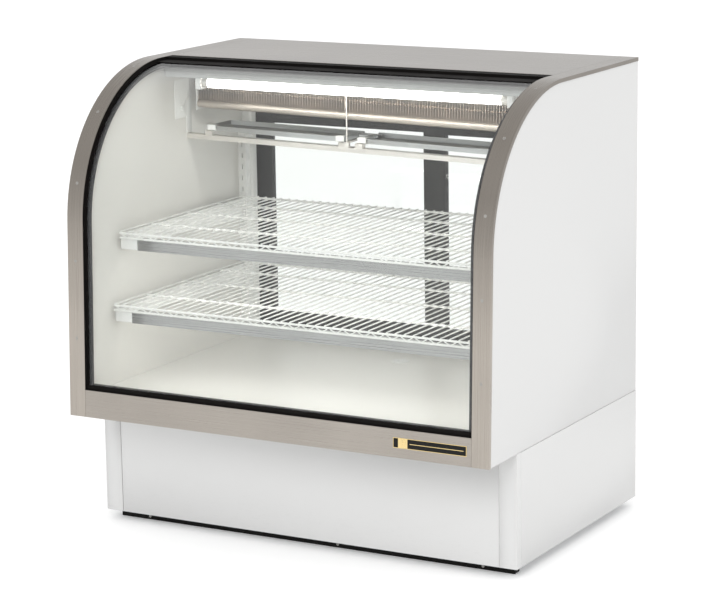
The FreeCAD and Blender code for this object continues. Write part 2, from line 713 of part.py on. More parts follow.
def thermostat_knob():
    body = rod((KNOB_X, CONTROL_Y + SHEET + 0.5, KNOB_Z), (KNOB_X, BACK_Y - 3, KNOB_Z), 16)
    flutes = []
    for n in range(18):
        angle = math.radians(20 * n)
        x, z = KNOB_X + 17 * math.cos(angle), KNOB_Z + 17 * math.sin(angle)
        flutes.append(rod((x, CONTROL_Y + SHEET + 3, z), (x, BACK_Y, z), 1.9))
    spindle = rod((KNOB_X, CONTROL_Y - 8, KNOB_Z), (KNOB_X, CONTROL_Y + 4, KNOB_Z), SPINDLE_R)
    pointer = box(KNOB_X - 0.8, KNOB_X + 0.8, BACK_Y - 3.8, BACK_Y, KNOB_Z + 4, KNOB_Z + 20)
    return fuse([body.cut(group(flutes)), spindle]).cut(pointer)


def switch_box(half_x, half_z, y0, y1):
    """A block centred on the lamp switch."""
    return box(SWITCH_X - half_x, SWITCH_X + half_x, y0, y1, SWITCH_Z - half_z, SWITCH_Z + half_z)


def switch_rod(half_x, radius):
    """A round bar on the switch's pivot axis."""
    y = CONTROL_Y + 1
    return rod((SWITCH_X - half_x, y, SWITCH_Z), (SWITCH_X + half_x, y, SWITCH_Z), radius)


def switch_housing():
    """The lamp switch's case and bezel, with the pin that the rocker turns on."""
    y = CONTROL_Y
    case = switch_box(10.3, 15.3, y - 20, y + SHEET)
    bezel = switch_box(12.5, 17.5, y + SHEET, y + SHEET + 1.5)
    well = switch_box(9.3, 14.4, y - 15, y + 10)
    return fuse([case, bezel]).cut(well).fuse(switch_rod(10, SWITCH_PIN_R))


def light_switch():
    """A rocker that turns about a pin along X, at rest with its lower end pressed in."""
    y = CONTROL_Y
    body = switch_rod(9, ROCKER_R).common(switch_box(9, 13.5, y - 8, y + 5.5))
    body = body.cut(switch_rod(10, SWITCH_PIN_R + 0.06))
    body.rotate(V(SWITCH_X, y + 1, SWITCH_Z), V(1, 0, 0), SWITCH_ANGLE)
    return body


# ---------------------------------------------------------------- rear doors
def door_frame():
    """Head and sill tracks and the two jambs of the rear opening."""
    y0, y1 = SILL_Y + 1, BACK_Y - 1.5
    walls = (
        (y0, DOOR_INNER_Y - 1.5),
        (DOOR_INNER_Y + DOOR_T + 1.5, DOOR_OUTER_Y - 1.5),
        (DOOR_OUTER_Y + DOOR_T + 1.5, y1),
    )
    x = INNER_X - SKIN_FIT
    webs = [box(-x, x, a, b, HEAD_Z, HEAD_TOP_Z) for a, b in walls]
    head = fuse([box(-x, x, y0, y1, HEAD_TOP_Z - 3, HEAD_TOP_Z)] + webs)
    ridges = [
        box(-x, x, y + DOOR_T / 2 - 1.5, y + DOOR_T / 2 + 1.5, SILL_Z, TRACK_TOP_Z)
        for y in (DOOR_INNER_Y, DOOR_OUTER_Y)
    ]
    lips = [box(-x, x, y0, y0 + 2, SILL_Z, SILL_Z + 5), box(-x, x, y1 - 2, y1, SILL_Z, SILL_Z + 5)]
    sill = fuse([box(-x, x, y0, y1, SILL_Z, SILL_Z + 3)] + ridges + lips)
    jamb = box(-x, -JAMB_X, y0, y1, SILL_Z + 5.5, HEAD_Z - 0.5)
    jamb = jamb.cut(box(-x + 2, -JAMB_X - 2, y0 + 2, y1 - 2, SILL_Z, HEAD_Z + 10))
    notch = [
        box(-x - 1, x + 1, y + DOOR_T / 2 - 2, y + DOOR_T / 2 + 2, SILL_Z, TRACK_TOP_Z + 0.5)
        for y in (DOOR_INNER_Y, DOOR_OUTER_Y)
    ]
    jamb = jamb.cut(group(notch))
    return group([head, sill, jamb, mirror_x(jamb)])


def roller_places(x0, x1):
    return (x0 + ROLLER_INSET, x1 - ROLLER_INSET)


def door_sash(x0, x1, y0):
    """One door frame: stiles and rails round the glass, with a pocket below for its two rollers."""
    y1 = y0 + DOOR_T
    left, right = x0 + DOOR_STILE, x1 - DOOR_STILE
    z0, z1 = DOOR_Z0 + BOTTOM_RAIL, DOOR_Z1 - TOP_RAIL
    window = box(left, right, y0 - 1, y1 + 1, z0, z1)
    rebate = box(left - 8, right + 8, y0 + 3, y1 - 3, z0 - 8, z1 + 8)
    pocket = box(x0 - 1, x1 + 1, y0 + 4, y1 - 4, DOOR_Z0 - 1, DOOR_Z0 + 24)
    x = pull_place(x0, x1)
    recess = box(x - PULL_HOLE, x + PULL_HOLE, y1 - 6, y1 + 1, PULL_Z0 + 6, PULL_Z1 - 6)
    body = box(x0, x1, y0, y1, DOOR_Z0, DOOR_Z1).cut(group([window, rebate, pocket, recess]))
    axles = [rod((x, y0 + 2, ROLLER_Z), (x, y1 - 2, ROLLER_Z), AXLE_R) for x in roller_places(x0, x1)]
    return fuse([body] + axles)


def door_glass(x0, x1, y0):
    """Two panes and the seal between them."""
    left, right = x0 + DOOR_STILE, x1 - DOOR_STILE
    z0, z1 = DOOR_Z0 + BOTTOM_RAIL, DOOR_Z1 - TOP_RAIL
    panes = [box(left - 7, right + 7, y, y + 3, z0 - 7, z1 + 7) for y in (y0 + 3.2, y0 + DOOR_T - 6.2)]
    seal = box(left - 7, right + 7, y0 + 6.2, y0 + DOOR_T - 6.2, z0 - 7, z1 + 7)
    return group(panes + [seal.cut(box(left, right, y0, y0 + DOOR_T, z0, z1))])


def pull_place(x0, x1):
    """Middle of the stile next to the jamb."""
    return x0 + DOOR_STILE / 2 if x0 < -DOOR_STILE else x1 - DOOR_STILE / 2


def door_pull(x0, x1, y0):
    """A low bezel that frames the finger recess in the outer stile."""
    x, y = pull_place(x0, x1), y0 + DOOR_T
    rim = box(x - PULL_HOLE - 6, x + PULL_HOLE + 6, y, y + PULL_PROUD, PULL_Z0, PULL_Z1)
    hole = box(x - PULL_HOLE, x + PULL_HOLE, y - 1, y + PULL_PROUD + 1, PULL_Z0 + 6, PULL_Z1 - 6)
    edges = [e for e in rim.Edges if abs(e.BoundBox.YMin - y - PULL_PROUD) < 1e-6]
    return rim.makeFillet(1.5, edges).cut(hole)


def roller(x, y0):
    """A nylon roller with a bore that runs on its axle."""
    y = y0 + DOOR_T / 2
    wheel = rod((x, y - ROLLER_W / 2, ROLLER_Z), (x, y + ROLLER_W / 2, ROLLER_Z), ROLLER_R - 0.05)
    return wheel.cut(rod((x, y - 10, ROLLER_Z), (x, y + 10, ROLLER_Z), AXLE_R + 0.06))


# ---------------------------------------------------------------- shelves


def shelf_grid(front, top):
    """A coated wire shelf: wires front to back, cross wires below, and a front truss with a zigzag."""
    surface_z = top - SURFACE_WIRE_R
    cross_z = surface_z - SURFACE_WIRE_R - WIRE_R + 1.0
    x = SHELF_HALF_X - WIRE_R
    low_z = top - TRUSS_H + WIRE_R
    wires = []
    count = int(2 * x // WIRE_PITCH)
    for n in range(count + 1):
        wx = -x + 2 * x * n / count
        wires.append(rod((wx, front, surface_z), (wx, SHELF_BACK_Y, surface_z), SURFACE_WIRE_R))
    ys = [front, front + 150, (front + SHELF_BACK_Y) / 2 + 20, SHELF_BACK_Y - 130, SHELF_BACK_Y]
    for y in ys:
        wires.append(rod((-SHELF_HALF_X, y, cross_z), (SHELF_HALF_X, y, cross_z), WIRE_R))
    wires.append(rod((-SHELF_HALF_X, front, low_z), (SHELF_HALF_X, front, low_z), WIRE_R))
    bays = int(2 * x // TRUSS_PITCH)
    for n in range(bays):
        left = -x + 2 * x * n / bays
        right = -x + 2 * x * (n + 1) / bays
        middle = (left + right) / 2
        wires.append(rod((left, front, cross_z), (middle, front, low_z), SURFACE_WIRE_R * 0.8))
        wires.append(rod((middle, front, low_z), (right, front, cross_z), SURFACE_WIRE_R * 0.8))
    return fuse(wires)


def bracket(front, top):
    """A cantilever bracket, left side: a tapering web with a top flange and hooks in the post's slots."""
    cross_low = top - 2 * SURFACE_WIRE_R - 2 * WIRE_R + 1.0
    seat = cross_low - 0.1
    x0, x1 = -POST_X - BRACKET_T / 2, -POST_X + BRACKET_T / 2
    tip = front + 12
    web = prism_x([(POST_Y, seat - 62), (POST_Y, seat), (tip, seat), (tip, seat - 34)], x0, x1)
    flange = box(x0, x1 + FLANGE_W - BRACKET_T, tip, POST_Y, seat - BRACKET_T, seat)
    hooks = [box(x0, x1, POST_Y - 1, POST_Y + 8, seat - drop - 6, seat - drop + 4) for drop in HOOK_DROPS]
    return fuse([web, flange] + hooks)


def shelf_brackets():
    shapes = []
    for front, top in shelf_levels():
        left = bracket(front, top)
        shapes += [left, mirror_x(left)]
    return group(shapes)


def shelf_levels():
    return ((UPPER_SHELF_Y, UPPER_SHELF_Z), (LOWER_SHELF_Y, LOWER_SHELF_Z))


def shelf_posts():
    """Slotted posts at the rear corners: open channels with a row of slots for the bracket hooks."""
    z0, z1 = DECK_Z + 0.5, HEAD_Z - 30
    x0, x1 = -POST_X - POST_W / 2, -POST_X + POST_W / 2
    outer = box(x0, x1, POST_Y, POST_Y + 22, z0, z1)
    post = outer.cut(box(x0 + 2, x1 - 2, POST_Y + 2, POST_Y + 30, z0 - 1, z1 + 1))
    slots = []
    seats = [top - 2 * SURFACE_WIRE_R - 2 * WIRE_R + 0.9 for _, top in shelf_levels()]
    step = HOOK_DROPS[1] - HOOK_DROPS[0]
    low = seats[1] - HOOK_DROPS[1]
    z = low - step * int((low - z0 - 30) / step)
    while z < z1 - 30:
        slots.append(z)
        z += step
    places = [z for z in slots if all(abs(z - s + d) > 20 for s in seats[:1] for d in HOOK_DROPS)]
    places += [seats[0] - d for d in HOOK_DROPS]
    cuts = [box(-POST_X - 1.4, -POST_X + 1.4, POST_Y - 1, POST_Y + 3, z - 8, z + 6) for z in places]
    left = post.cut(group(cuts))
    return group([left, mirror_x(left)])


def channel_place(front, top):
    """Front face and top of the lamp channel hung below a shelf's front truss."""
    return front + 8.0, top - TRUSS_H - 1.0


def lamp_channels():
    """The aluminium reflector channel below the front of each shelf."""
    shapes = []
    for front, top in shelf_levels():
        y, z = channel_place(front, top)
        shapes.append(
            prism_x(
                [
                    (y, z),
                    (y + CHANNEL_D, z),
                    (y + CHANNEL_D, z - 8),
                    (y + CHANNEL_D - 1.5, z - 8),
                    (y + CHANNEL_D - 1.5, z - 1.5),
                    (y + 1.5, z - 1.5),
                    (y + 1.5, z - CHANNEL_H),
                    (y, z - CHANNEL_H),
                ],
                -CHANNEL_HALF,
                CHANNEL_HALF,
            )
        )
    return group(shapes)


def shelf_lamp_line(front, top):
    y, z = channel_place(front, top)
    return y + 17, z - 17


def lamp_holders():
    """White end blocks of the shelf lamps and the sockets of the top lamp."""
    shapes = []
    for front, top in shelf_levels():
        y, z = channel_place(front, top)
        cap = box(-CAP_HALF, -CHANNEL_HALF, y - 0.5, y + CHANNEL_D, z - CHANNEL_H + 1, z)
        cap = cap.makeFillet(2.0, [e for e in cap.Edges if abs(e.Length - (CAP_HALF - CHANNEL_HALF)) < 1e-6])
        ly, lz = shelf_lamp_line(front, top)
        cap = cap.cut(rod((-CHANNEL_HALF - 6, ly, lz), (-CHANNEL_HALF + 1, ly, lz), SHELF_LAMP_R + 0.2))
        shapes += [cap, mirror_x(cap)]
    socket = box(-LAMP_HALF - 16, -LAMP_HALF, LAMP_Y - 14, LAMP_Y + 14, LAMP_Z - 17, HOOD_Z - 0.2)
    socket = socket.cut(rod((-LAMP_HALF - 5, LAMP_Y, LAMP_Z), (-LAMP_HALF + 1, LAMP_Y, LAMP_Z), LAMP_R + 0.2))
    shapes += [socket, mirror_x(socket)]
    return group(shapes)


def lamp_tubes():
    top = rod((-LAMP_HALF - 4, LAMP_Y, LAMP_Z), (LAMP_HALF + 4, LAMP_Y, LAMP_Z), LAMP_R)
    shapes = [top]
    for front, high in shelf_levels():
        y, z = shelf_lamp_line(front, high)
        shapes.append(rod((-CHANNEL_HALF - 5, y, z), (CHANNEL_HALF + 5, y, z), SHELF_LAMP_R))
    return group(shapes)


def lamp_hood():
    """The white sheet channel that carries the top lamp below the ceiling."""
    x = INNER_X - 2
    return fuse(
        [
            box(-x, x, HOOD_Y0, HOOD_Y0 + 1, HOOD_Z, CASE_H - GASKET_IN - 0.5),
            box(-x, x, HOOD_Y0, HOOD_Y1, HOOD_Z, HOOD_Z + 1),
            box(-x, x, HOOD_Y1 - 1, HOOD_Y1, HOOD_Z, CEILING_Z - 1),
            box(-x, x, HOOD_Y1 - 1, HOOD_Y1 + 16, CEILING_Z - 2, CEILING_Z - 1),
        ]
    )


# ---------------------------------------------------------------- gravity coil
def tube_places():
    """(y, z) of the coil's tubes in the order that the refrigerant passes them, from the lower rear one."""
    ys = [COIL_Y1 - TUBE_PITCH * (n + 0.5) for n in range(TUBE_COLUMNS)]
    low = (COIL_Z0 + COIL_Z1 - TUBE_PITCH) / 2
    return [(y, low) for y in ys] + [(y, low + TUBE_PITCH) for y in reversed(ys)]


def evaporator_fins():
    """Upright fins in one row below a thin top plate, bored for the tubes."""
    count = int(2 * COIL_HALF_X / FIN_PITCH)
    outline = [(-COIL_HALF_X, COIL_Z1), (-COIL_HALF_X, COIL_Z0)]
    for n in range(count + 1):
        x = -COIL_HALF_X + n * FIN_PITCH
        if n:
            outline += [(x, COIL_Z1 - 1.5), (x, COIL_Z0)]
        outline.append((x + FIN_T, COIL_Z0))
        if n < count:
            outline.append((x + FIN_T, COIL_Z1 - 1.5))
    outline.append((COIL_HALF_X + FIN_T, COIL_Z1))
    comb = prism_y(outline, COIL_Y0, COIL_Y1)
    bores = [rod((-COIL_HALF_X - 5, y, z), (COIL_HALF_X + 5, y, z), TUBE_R + 0.15) for y, z in tube_places()]
    return slope(comb.cut(group(bores)))


def evaporator_tubes():
    """One serpentine tube through the fins, eight passes with return bends."""
    edges = []
    places = tube_places()
    side = -1
    for n, (y, z) in enumerate(places):
        a = V(side * BEND_X, y, z)
        b = V(-side * BEND_X, y, z)
        edges.append(Part.LineSegment(a, b).toShape())
        if n + 1 < len(places):
            ny, nz = places[n + 1]
            bend = math.hypot(ny - y, nz - z) / 2
            c = V(-side * BEND_X, ny, nz)
            middle = (b + c) * 0.5 + V(-side * bend, 0, 0)
            edges.append(Part.Arc(b, middle, c).toShape())
        side = -side
    path = Part.Wire(edges)
    ring = Part.Wire(Part.makeCircle(TUBE_R, V(-BEND_X, *places[0]), V(1, 0, 0)))
    return slope(path.makePipeShell([ring], True, False))


def coil_bracket(side):
    """Carries one end of the coil: a bored plate, and a wall plate with a leg to the rail."""
    top = CEILING_Z - SHEET
    y0 = COIL_Y0 - 6
    shift = slope_point(COIL_PLATE_X, COIL_Y0, COIL_Z0).x - COIL_PLATE_X
    plate_x = -COIL_PLATE_X - side * shift
    wall_x = -INNER_X + WALL_PLATE_T
    wall_y0, wall_y1 = WALL_PLATE_Y
    wall_z0, wall_z1 = WALL_PLATE_Z
    leg_z = slope_point(side * INNER_X, RAIL_Y, RAIL_Z + RAIL_H).z + 0.5
    bolt_y, bolt_z = WALL_BOLT
    left = fuse(
        [
            box(plate_x - 1.5, plate_x, y0, COIL_Y1, COIL_Z0 - 18, top),
            box(-INNER_X, plate_x, y0, COIL_Y1, top - 1.5, top),
            box(-INNER_X, wall_x, wall_y0, wall_y1, wall_z0, wall_z1),
            box(-INNER_X, wall_x, y0, wall_y1, wall_z1, top),
            box(-INNER_X, wall_x, RAIL_Y - 2, wall_y1, leg_z, wall_z0),
            rod((wall_x, bolt_y, bolt_z), (wall_x + 4, bolt_y, bolt_z), 6.5),
        ]
    )
    placed = mirror_x(left) if side > 0 else left
    bores = [slope(rod((-SIDE_X, y, z), (SIDE_X, y, z), TUBE_R + 0.3)) for y, z in tube_places()]
    return placed.cut(group(bores))


def coil_band():
    """The bright rounded channel along the lower front edge of the fins."""
    y = COIL_Y0 + 3
    full = rod((-COIL_HALF_X, y, BAND_Z), (COIL_HALF_X, y, BAND_Z), BAND_R)
    inside = rod((-COIL_HALF_X - 1, y, BAND_Z), (COIL_HALF_X + 1, y, BAND_Z), BAND_R - 1.2)
    back = box(-COIL_HALF_X - 1, COIL_HALF_X + 1, y + 2, y + 20, BAND_Z - 20, BAND_Z + 20)
    tab = box(-COIL_HALF_X, COIL_HALF_X, y - 1, y + 14, COIL_Z0 - 1.2, COIL_Z0)
    return slope(fuse([full.cut(inside).cut(back), tab]))


def drip_tray(x0, x1):
    """A shallow tray with a folded front lip, level, before the tilt."""
    outer = box(x0, x1, PAN_Y0, PAN_Y1, PAN_Z, PAN_Z + PAN_H)
    inner = box(x0 + 1, x1 - 1, PAN_Y0 + 1, PAN_Y1 - 1, PAN_Z + 1, PAN_Z + PAN_H + 1)
    lip = box(x0, x1, PAN_Y0 - 5, PAN_Y0 + 1, PAN_Z + PAN_H - 2, PAN_Z + PAN_H)
    return fuse([outer.cut(inner), lip])


def drip_pans():
    """The left pan empties through a spout into a notch of the right pan, which has the outlet."""
    x0, x1 = LEFT_PAN_X[1] - 1, RIGHT_PAN_X[0] + 12
    floor_z = PAN_Z + 4
    spout = box(x0, x1, SPOUT_Y0, SPOUT_Y1, floor_z, PAN_Z + 11)
    channel = box(x0 - 2, x1 + 1, SPOUT_Y0 + 1, SPOUT_Y1 - 1, floor_z + 1, PAN_Z + PAN_H + 1)
    left = fuse([drip_tray(*LEFT_PAN_X), spout]).cut(channel)
    wall_x = RIGHT_PAN_X[0]
    notch = box(wall_x - 1, wall_x + 3, SPOUT_Y0 - 2, SPOUT_Y1 + 2, PAN_Z + 3, PAN_Z + PAN_H + 1)
    stub = rod((OUTLET_X, OUTLET_Y, PAN_Z - 14), (OUTLET_X, OUTLET_Y, PAN_Z + 0.5), OUTLET_R)
    bore = rod((OUTLET_X, OUTLET_Y, PAN_Z - 20), (OUTLET_X, OUTLET_Y, PAN_Z + 5), OUTLET_R - 1.5)
    right = fuse([drip_tray(*RIGHT_PAN_X).cut(notch), stub]).cut(bore)
    return group([slope(left), slope(right)])


def pan_frame():
    """The rail across the case below the coil, its support blocks, rear ledge and the middle hanger."""
    x = INNER_X - 0.5
    rail = prism_x(
        [
            (RAIL_Y, RAIL_Z),
            (RAIL_Y, RAIL_Z + RAIL_H),
            (RAIL_Y + 24, RAIL_Z + RAIL_H),
            (RAIL_Y + 24, RAIL_Z + RAIL_H - 1.5),
            (RAIL_Y + 1.5, RAIL_Z + RAIL_H - 1.5),
            (RAIL_Y + 1.5, RAIL_Z),
        ],
        -x,
        x,
    )
    ledge = box(-x, x, PAN_Y1 - 14, PAN_Y1 - 2, PAN_Z - 3, PAN_Z - 0.2)
    rest = PAN_Z - 0.2
    blocks = []
    for x0, x1 in (LEFT_PAN_X, RIGHT_PAN_X):
        for a, b in ((x0 - 8, x0 + 14), (x1 - 14, x1 + 8)):
            foot = box(a, b, RAIL_Y + 2, RAIL_Y + 20, RAIL_Z + RAIL_H, rest)
            blocks.append(foot)
            blocks.append(box(a + 4, b - 4, RAIL_Y + 12, PAN_Y1 - 10, rest - 5, rest))
    clip = box(HANGER_X - 7, HANGER_X + 7, RAIL_Y + 1, RAIL_Y + 9, RAIL_Z + 12, RAIL_Z + 26)
    frame = slope(fuse([rail, ledge] + blocks + [clip]))
    hanger = rod((HANGER_X, RAIL_Y + 5, RAIL_Z + 20), (HANGER_X, RAIL_Y + 5, CEILING_Z - 1.2), 2.0)
    return fuse([frame, hanger])


def drain_pipe():
    """The white pipe from the pans' outlet down to the deck, and the deck's strainer with its drain pipe."""
    x, y, z = 530.0, 381.0, 962.0
    start = (OUTLET_X, OUTLET_Y, z + 16)
    route = [start, (OUTLET_X, OUTLET_Y, z), (x, OUTLET_Y, z), (x, y, z), (x, y, DECK_Z + 3)]
    pipe = bent_tube(route, 8.0, [14.0, 22.0, 22.0])
    cup = rod((OUTLET_X, OUTLET_Y, z + 15), (OUTLET_X, OUTLET_Y, z + 28), OUTLET_R + 5)
    hollow = rod((OUTLET_X, OUTLET_Y, z + 17), (OUTLET_X, OUTLET_Y, z + 40), OUTLET_R + 3)
    pipe = fuse([pipe, cup]).cut(hollow)
    flange = rod((0, DRAIN_Y, DECK_Z), (0, DRAIN_Y, DECK_Z + 2), DRAIN_R + 12)
    stem = rod((0, DRAIN_Y, TRAY_FLOOR + 58), (0, DRAIN_Y, DECK_Z + 1), DRAIN_R)
    strainer = fuse([flange, stem])
    holes = [rod((0, DRAIN_Y, TRAY_FLOOR), (0, DRAIN_Y, DECK_Z - 4), DRAIN_R - 2)]
    for n in range(8):
        angle = math.radians(45 * n)
        cx, cy = 7 * math.cos(angle), DRAIN_Y + 7 * math.sin(angle)
        holes.append(rod((cx, cy, DECK_Z - 6), (cx, cy, DECK_Z + 5), 2.0))
    return group([pipe, strainer.cut(group(holes))])


# ---------------------------------------------------------------- condensing unit
def unit_tray():
    """The folded tray that carries the compressor, condenser and fan."""
    tray = box(-330, 380, 20, 425, PANEL_Z, UNIT_Z)
    return tray.cut(box(-328, 378, 22, 423, TRAY_FLOOR, UNIT_Z + 1))


def condensate_pan():
    """An open pan on the tray below the drain."""
    outer = box(-82, 72, 150, 325, TRAY_FLOOR, TRAY_FLOOR + 45)
    return outer.cut(box(-81, 71, 151, 324, TRAY_FLOOR + 1, TRAY_FLOOR + 50))


def compressor():
    """A hermetic compressor on four rubber mounts: a welded shell with a domed lid and a terminal cover."""
    cx, cy = COMPRESSOR
    z0 = PANEL_Z + 14
    shell = rod((cx, cy, z0 + 10), (cx, cy, z0 + 130), 82)
    dome = Part.makeSphere(98, V(cx, cy, z0 + 76)).common(rod((cx, cy, z0 + 120), (cx, cy, z0 + 200), 82))
    seam = rod((cx, cy, z0 + 92), (cx, cy, z0 + 100), 86)
    feet = box(cx - 105, cx + 105, cy - 78, cy + 78, z0 + 6, z0 + 10)
    cover = box(cx + 76, cx + 112, cy - 28, cy + 28, z0 + 40, z0 + 104)
    mounts = []
    for dx in (-92, 92):
        for dy in (-64, 64):
            mounts.append(rod((cx + dx, cy + dy, TRAY_FLOOR), (cx + dx, cy + dy, z0 + 7), 12))
    stubs = [rod((x, cy + 60, z), (x, PORT_Y, z), 8) for x, z in (DISCHARGE_PORT, SUCTION_PORT)]
    return fuse([shell, dome, seam, feet, cover] + mounts + stubs)


def condenser_coil():
    """The condenser: a finned block in one piece with its two header sheets."""
    x0, x1 = CONDENSER_X
    z0, z1 = CONDENSER_Z
    count = 44
    pitch = (x1 - x0) / count
    outline = [(x0, z1), (x0, z0)]
    for n in range(count + 1):
        x = x0 + n * pitch
        if n:
            outline += [(x, z1 - 3), (x, z0)]
        outline.append((x + 1.2, z0))
        if n < count:
            outline.append((x + 1.2, z1 - 3))
    outline.append((x1 + 1.2, z1))
    return prism_y(outline, CONDENSER_Y0, CONDENSER_Y1)


def fan_shroud():
    """The black shroud that guides air from the condenser to the fan, with the motor's three arms."""
    x0, x1 = CONDENSER_X
    z0, z1 = CONDENSER_Z
    y0, y1 = FAN_Y + 8, CONDENSER_Y0 - 1
    hood = box(x0 - 2, x1 + 3, y0, y1, z0, z1)
    hood = hood.cut(box(x0, x1 + 1, y0 + 2, y1 + 1, z0 + 2, z1 - 2))
    hood = hood.cut(rod((FAN_X, y0 - 5, FAN_Z), (FAN_X, y0 + 5, FAN_Z), FAN_R + 8))
    collar = rod((FAN_X, y0 - 24, FAN_Z), (FAN_X, y0 + 1, FAN_Z), FAN_R + 10)
    collar = collar.cut(rod((FAN_X, y0 - 30, FAN_Z), (FAN_X, y0 + 5, FAN_Z), FAN_R + 8))
    return fuse([hood, collar])


def fan_motor():
    """The fan motor with the bracket that stands it on the tray."""
    y1 = FAN_Y - 22
    can = rod((FAN_X, y1 - 70, FAN_Z), (FAN_X, y1, FAN_Z), 42)
    shaft = rod((FAN_X, y1 - 1, FAN_Z), (FAN_X, FAN_Y + 6, FAN_Z), 4.0)
    leg = box(FAN_X - 30, FAN_X + 30, y1 - 50, y1 - 47, TRAY_FLOOR, FAN_Z - 20)
    foot = box(FAN_X - 30, FAN_X + 30, y1 - 50, y1 - 20, TRAY_FLOOR, TRAY_FLOOR + 3)
    return fuse([can, shaft, leg, foot])


def condenser_fan():
    """Five pitched blades on a hub that is bored for the motor shaft."""
    hub = rod((FAN_X, FAN_Y - 14, FAN_Z), (FAN_X, FAN_Y + 4, FAN_Z), 20)
    blades = []
    for n in range(5):
        blade = box(FAN_X - 24, FAN_X + 24, FAN_Y - 6, FAN_Y - 4, FAN_Z + 14, FAN_Z + FAN_R)
        tip = rod((FAN_X, FAN_Y - 40, FAN_Z), (FAN_X, FAN_Y + 40, FAN_Z), FAN_R)
        blade.rotate(V(FAN_X, FAN_Y - 5, FAN_Z), V(0, 0, 1), 22)
        blade = blade.common(tip)
        blade.rotate(V(FAN_X, FAN_Y, FAN_Z), V(0, 1, 0), 72 * n)
        blades.append(blade)
    fan = fuse([hub] + blades)
    return fan.cut(rod((FAN_X, FAN_Y - 30, FAN_Z), (FAN_X, FAN_Y + 30, FAN_Z), 4.06))


def refrigerant_lines():
    """Copper discharge and suction lines, and the liquid line with its filter drier, up to the coil."""
    low_y, low_z = tube_places()[0]
    high_y, high_z = tube_places()[-1]
    liquid_end = slope_point(-BEND_X, low_y, low_z)
    suction_end = slope_point(-BEND_X, high_y, high_z)
    inlet_x = CONDENSER_X[0]
    dx, dz = DISCHARGE_PORT
    sx, sz = SUCTION_PORT
    turn_y = 352.0
    discharge = bent_tube(
        [(dx, PORT_Y, dz), (dx, turn_y, dz), (60, turn_y, dz), (60, 372, dz), (inlet_x, 372, dz)],
        4.0,
        [18.0, 9.0, 9.0],
    )
    suction = bent_tube(
        [
            (sx, PORT_Y, sz),
            (sx, RISER_Y, sz),
            (SUCTION_X, RISER_Y, sz),
            (SUCTION_X, RISER_Y, suction_end.z),
            (COIL_PORT_X, suction_end.y, suction_end.z),
            (suction_end.x - 0.3, suction_end.y, suction_end.z),
        ],
        SUCTION_R,
        [30.0, 30.0, 30.0, 12.0],
    )
    drier = rod((-60, 405, 70), (20, 405, 70), 13)
    route = [(19, 405, 70), (52, 405, 70), (52, 388, 70), (inlet_x, 388, 70)]
    outlet = bent_tube(route, LIQUID_R, [8.0, 8.0])
    riser = bent_tube(
        [
            (-59, 405, 70),
            (LIQUID_X, 405, 70),
            (LIQUID_X, 405, 200),
            (LIQUID_X, RISER_Y, 240),
            (LIQUID_X, RISER_Y, liquid_end.z),
            (LIQUID_X, liquid_end.y, liquid_end.z),
            (liquid_end.x - 0.3, liquid_end.y, liquid_end.z),
        ],
        LIQUID_R,
        [30.0, 30.0, 30.0, 30.0, 12.0],
    )
    return group([discharge, suction, fuse([drier, outlet, riser])])


# ---------------------------------------------------------------- the list of nodes
def build():
    gasket, spacer = glass_seals()
    nodes = {
        "end_panels": pair(end_panel()),
        "foam_insulation": foam(),
        "interior_liners": liners(),
        "end_trims": pair(end_trim()),
        "panel_screws": panel_screws(),
        "top_panel": top_panel(),
        "front_rail": front_rail(),
        "badge_plate": badge_plate(),
        "glass_gasket": gasket,
        "glass_spacer": spacer,
        "glass_outer_pane": glass_pane(GLASS_RECESS),
        "glass_inner_pane": glass_pane(GLASS_RECESS + PANE + PANE_GAP),
        "deck_pan": deck_pan(),
        "underside_panel": underside_panel(),
        "rear_sill": rear_sill(),
        "base_front_panel": base_front_panel(),
        "base_posts": base_posts(),
        "base_sides": base_sides(),
        "base_pan": base_pan(),
        "base_frame": base_frame(),
        "floor_glides": group([floor_glide(x, y) for x, y in foot_places()]),
        "rear_grille": rear_grille(),
        "control_panel": control_panel(),
        "electrical_fittings": group([cord_gland(), switch_housing()]),
        "thermostat_knob": thermostat_knob(),
        "light_switch": light_switch(),
        "door_frame": door_frame(),
        "upper_shelf": shelf_grid(UPPER_SHELF_Y, UPPER_SHELF_Z),
        "lower_shelf": shelf_grid(LOWER_SHELF_Y, LOWER_SHELF_Z),
        "shelf_posts": shelf_posts(),
        "shelf_brackets": shelf_brackets(),
        "shelf_lamp_channels": lamp_channels(),
        "lamp_holders": lamp_holders(),
        "lamp_tubes": lamp_tubes(),
        "top_lamp_hood": lamp_hood(),
        "coil_brackets": group([coil_bracket(-1), coil_bracket(1)]),
        "evaporator_fins": evaporator_fins(),
        "evaporator_tubes": evaporator_tubes(),
        "coil_band": coil_band(),
        "pan_frame": pan_frame(),
        "drip_pans": drip_pans(),
        "drain_pipe": drain_pipe(),
        "unit_tray": unit_tray(),
        "condensate_pan": condensate_pan(),
        "compressor": compressor(),
        "condenser_coil": condenser_coil(),
        "fan_shroud": fan_shroud(),
        "fan_motor": fan_motor(),
        "condenser_fan": condenser_fan(),
        "refrigerant_lines": refrigerant_lines(),
    }
    for side, door in (("left", LEFT_DOOR), ("right", RIGHT_DOOR)):
        nodes[f"{side}_door_sash"] = door_sash(*door)
        nodes[f"{side}_door_glass"] = door_glass(*door)
        nodes[f"{side}_door_pull"] = door_pull(*door)
        for n, x in enumerate(roller_places(*door[:2]), 1):
            nodes[f"{side}_door_roller_{n}"] = roller(x, door[2])
    return nodes


def main():
    os.makedirs("parts", exist_ok=True)
    for name in os.listdir("parts"):
        os.remove(os.path.join("parts", name))
    for name, shape in build().items():
        bad = [s for s in shape.Solids if not s.isValid() or s.Volume <= 0]
        print(f"{name}: {len(shape.Solids)} solids, {shape.Volume / 1000:.1f} cm3" + (" BAD" if bad else ""))
        shape.exportStep(f"parts/{name}.step")


main()
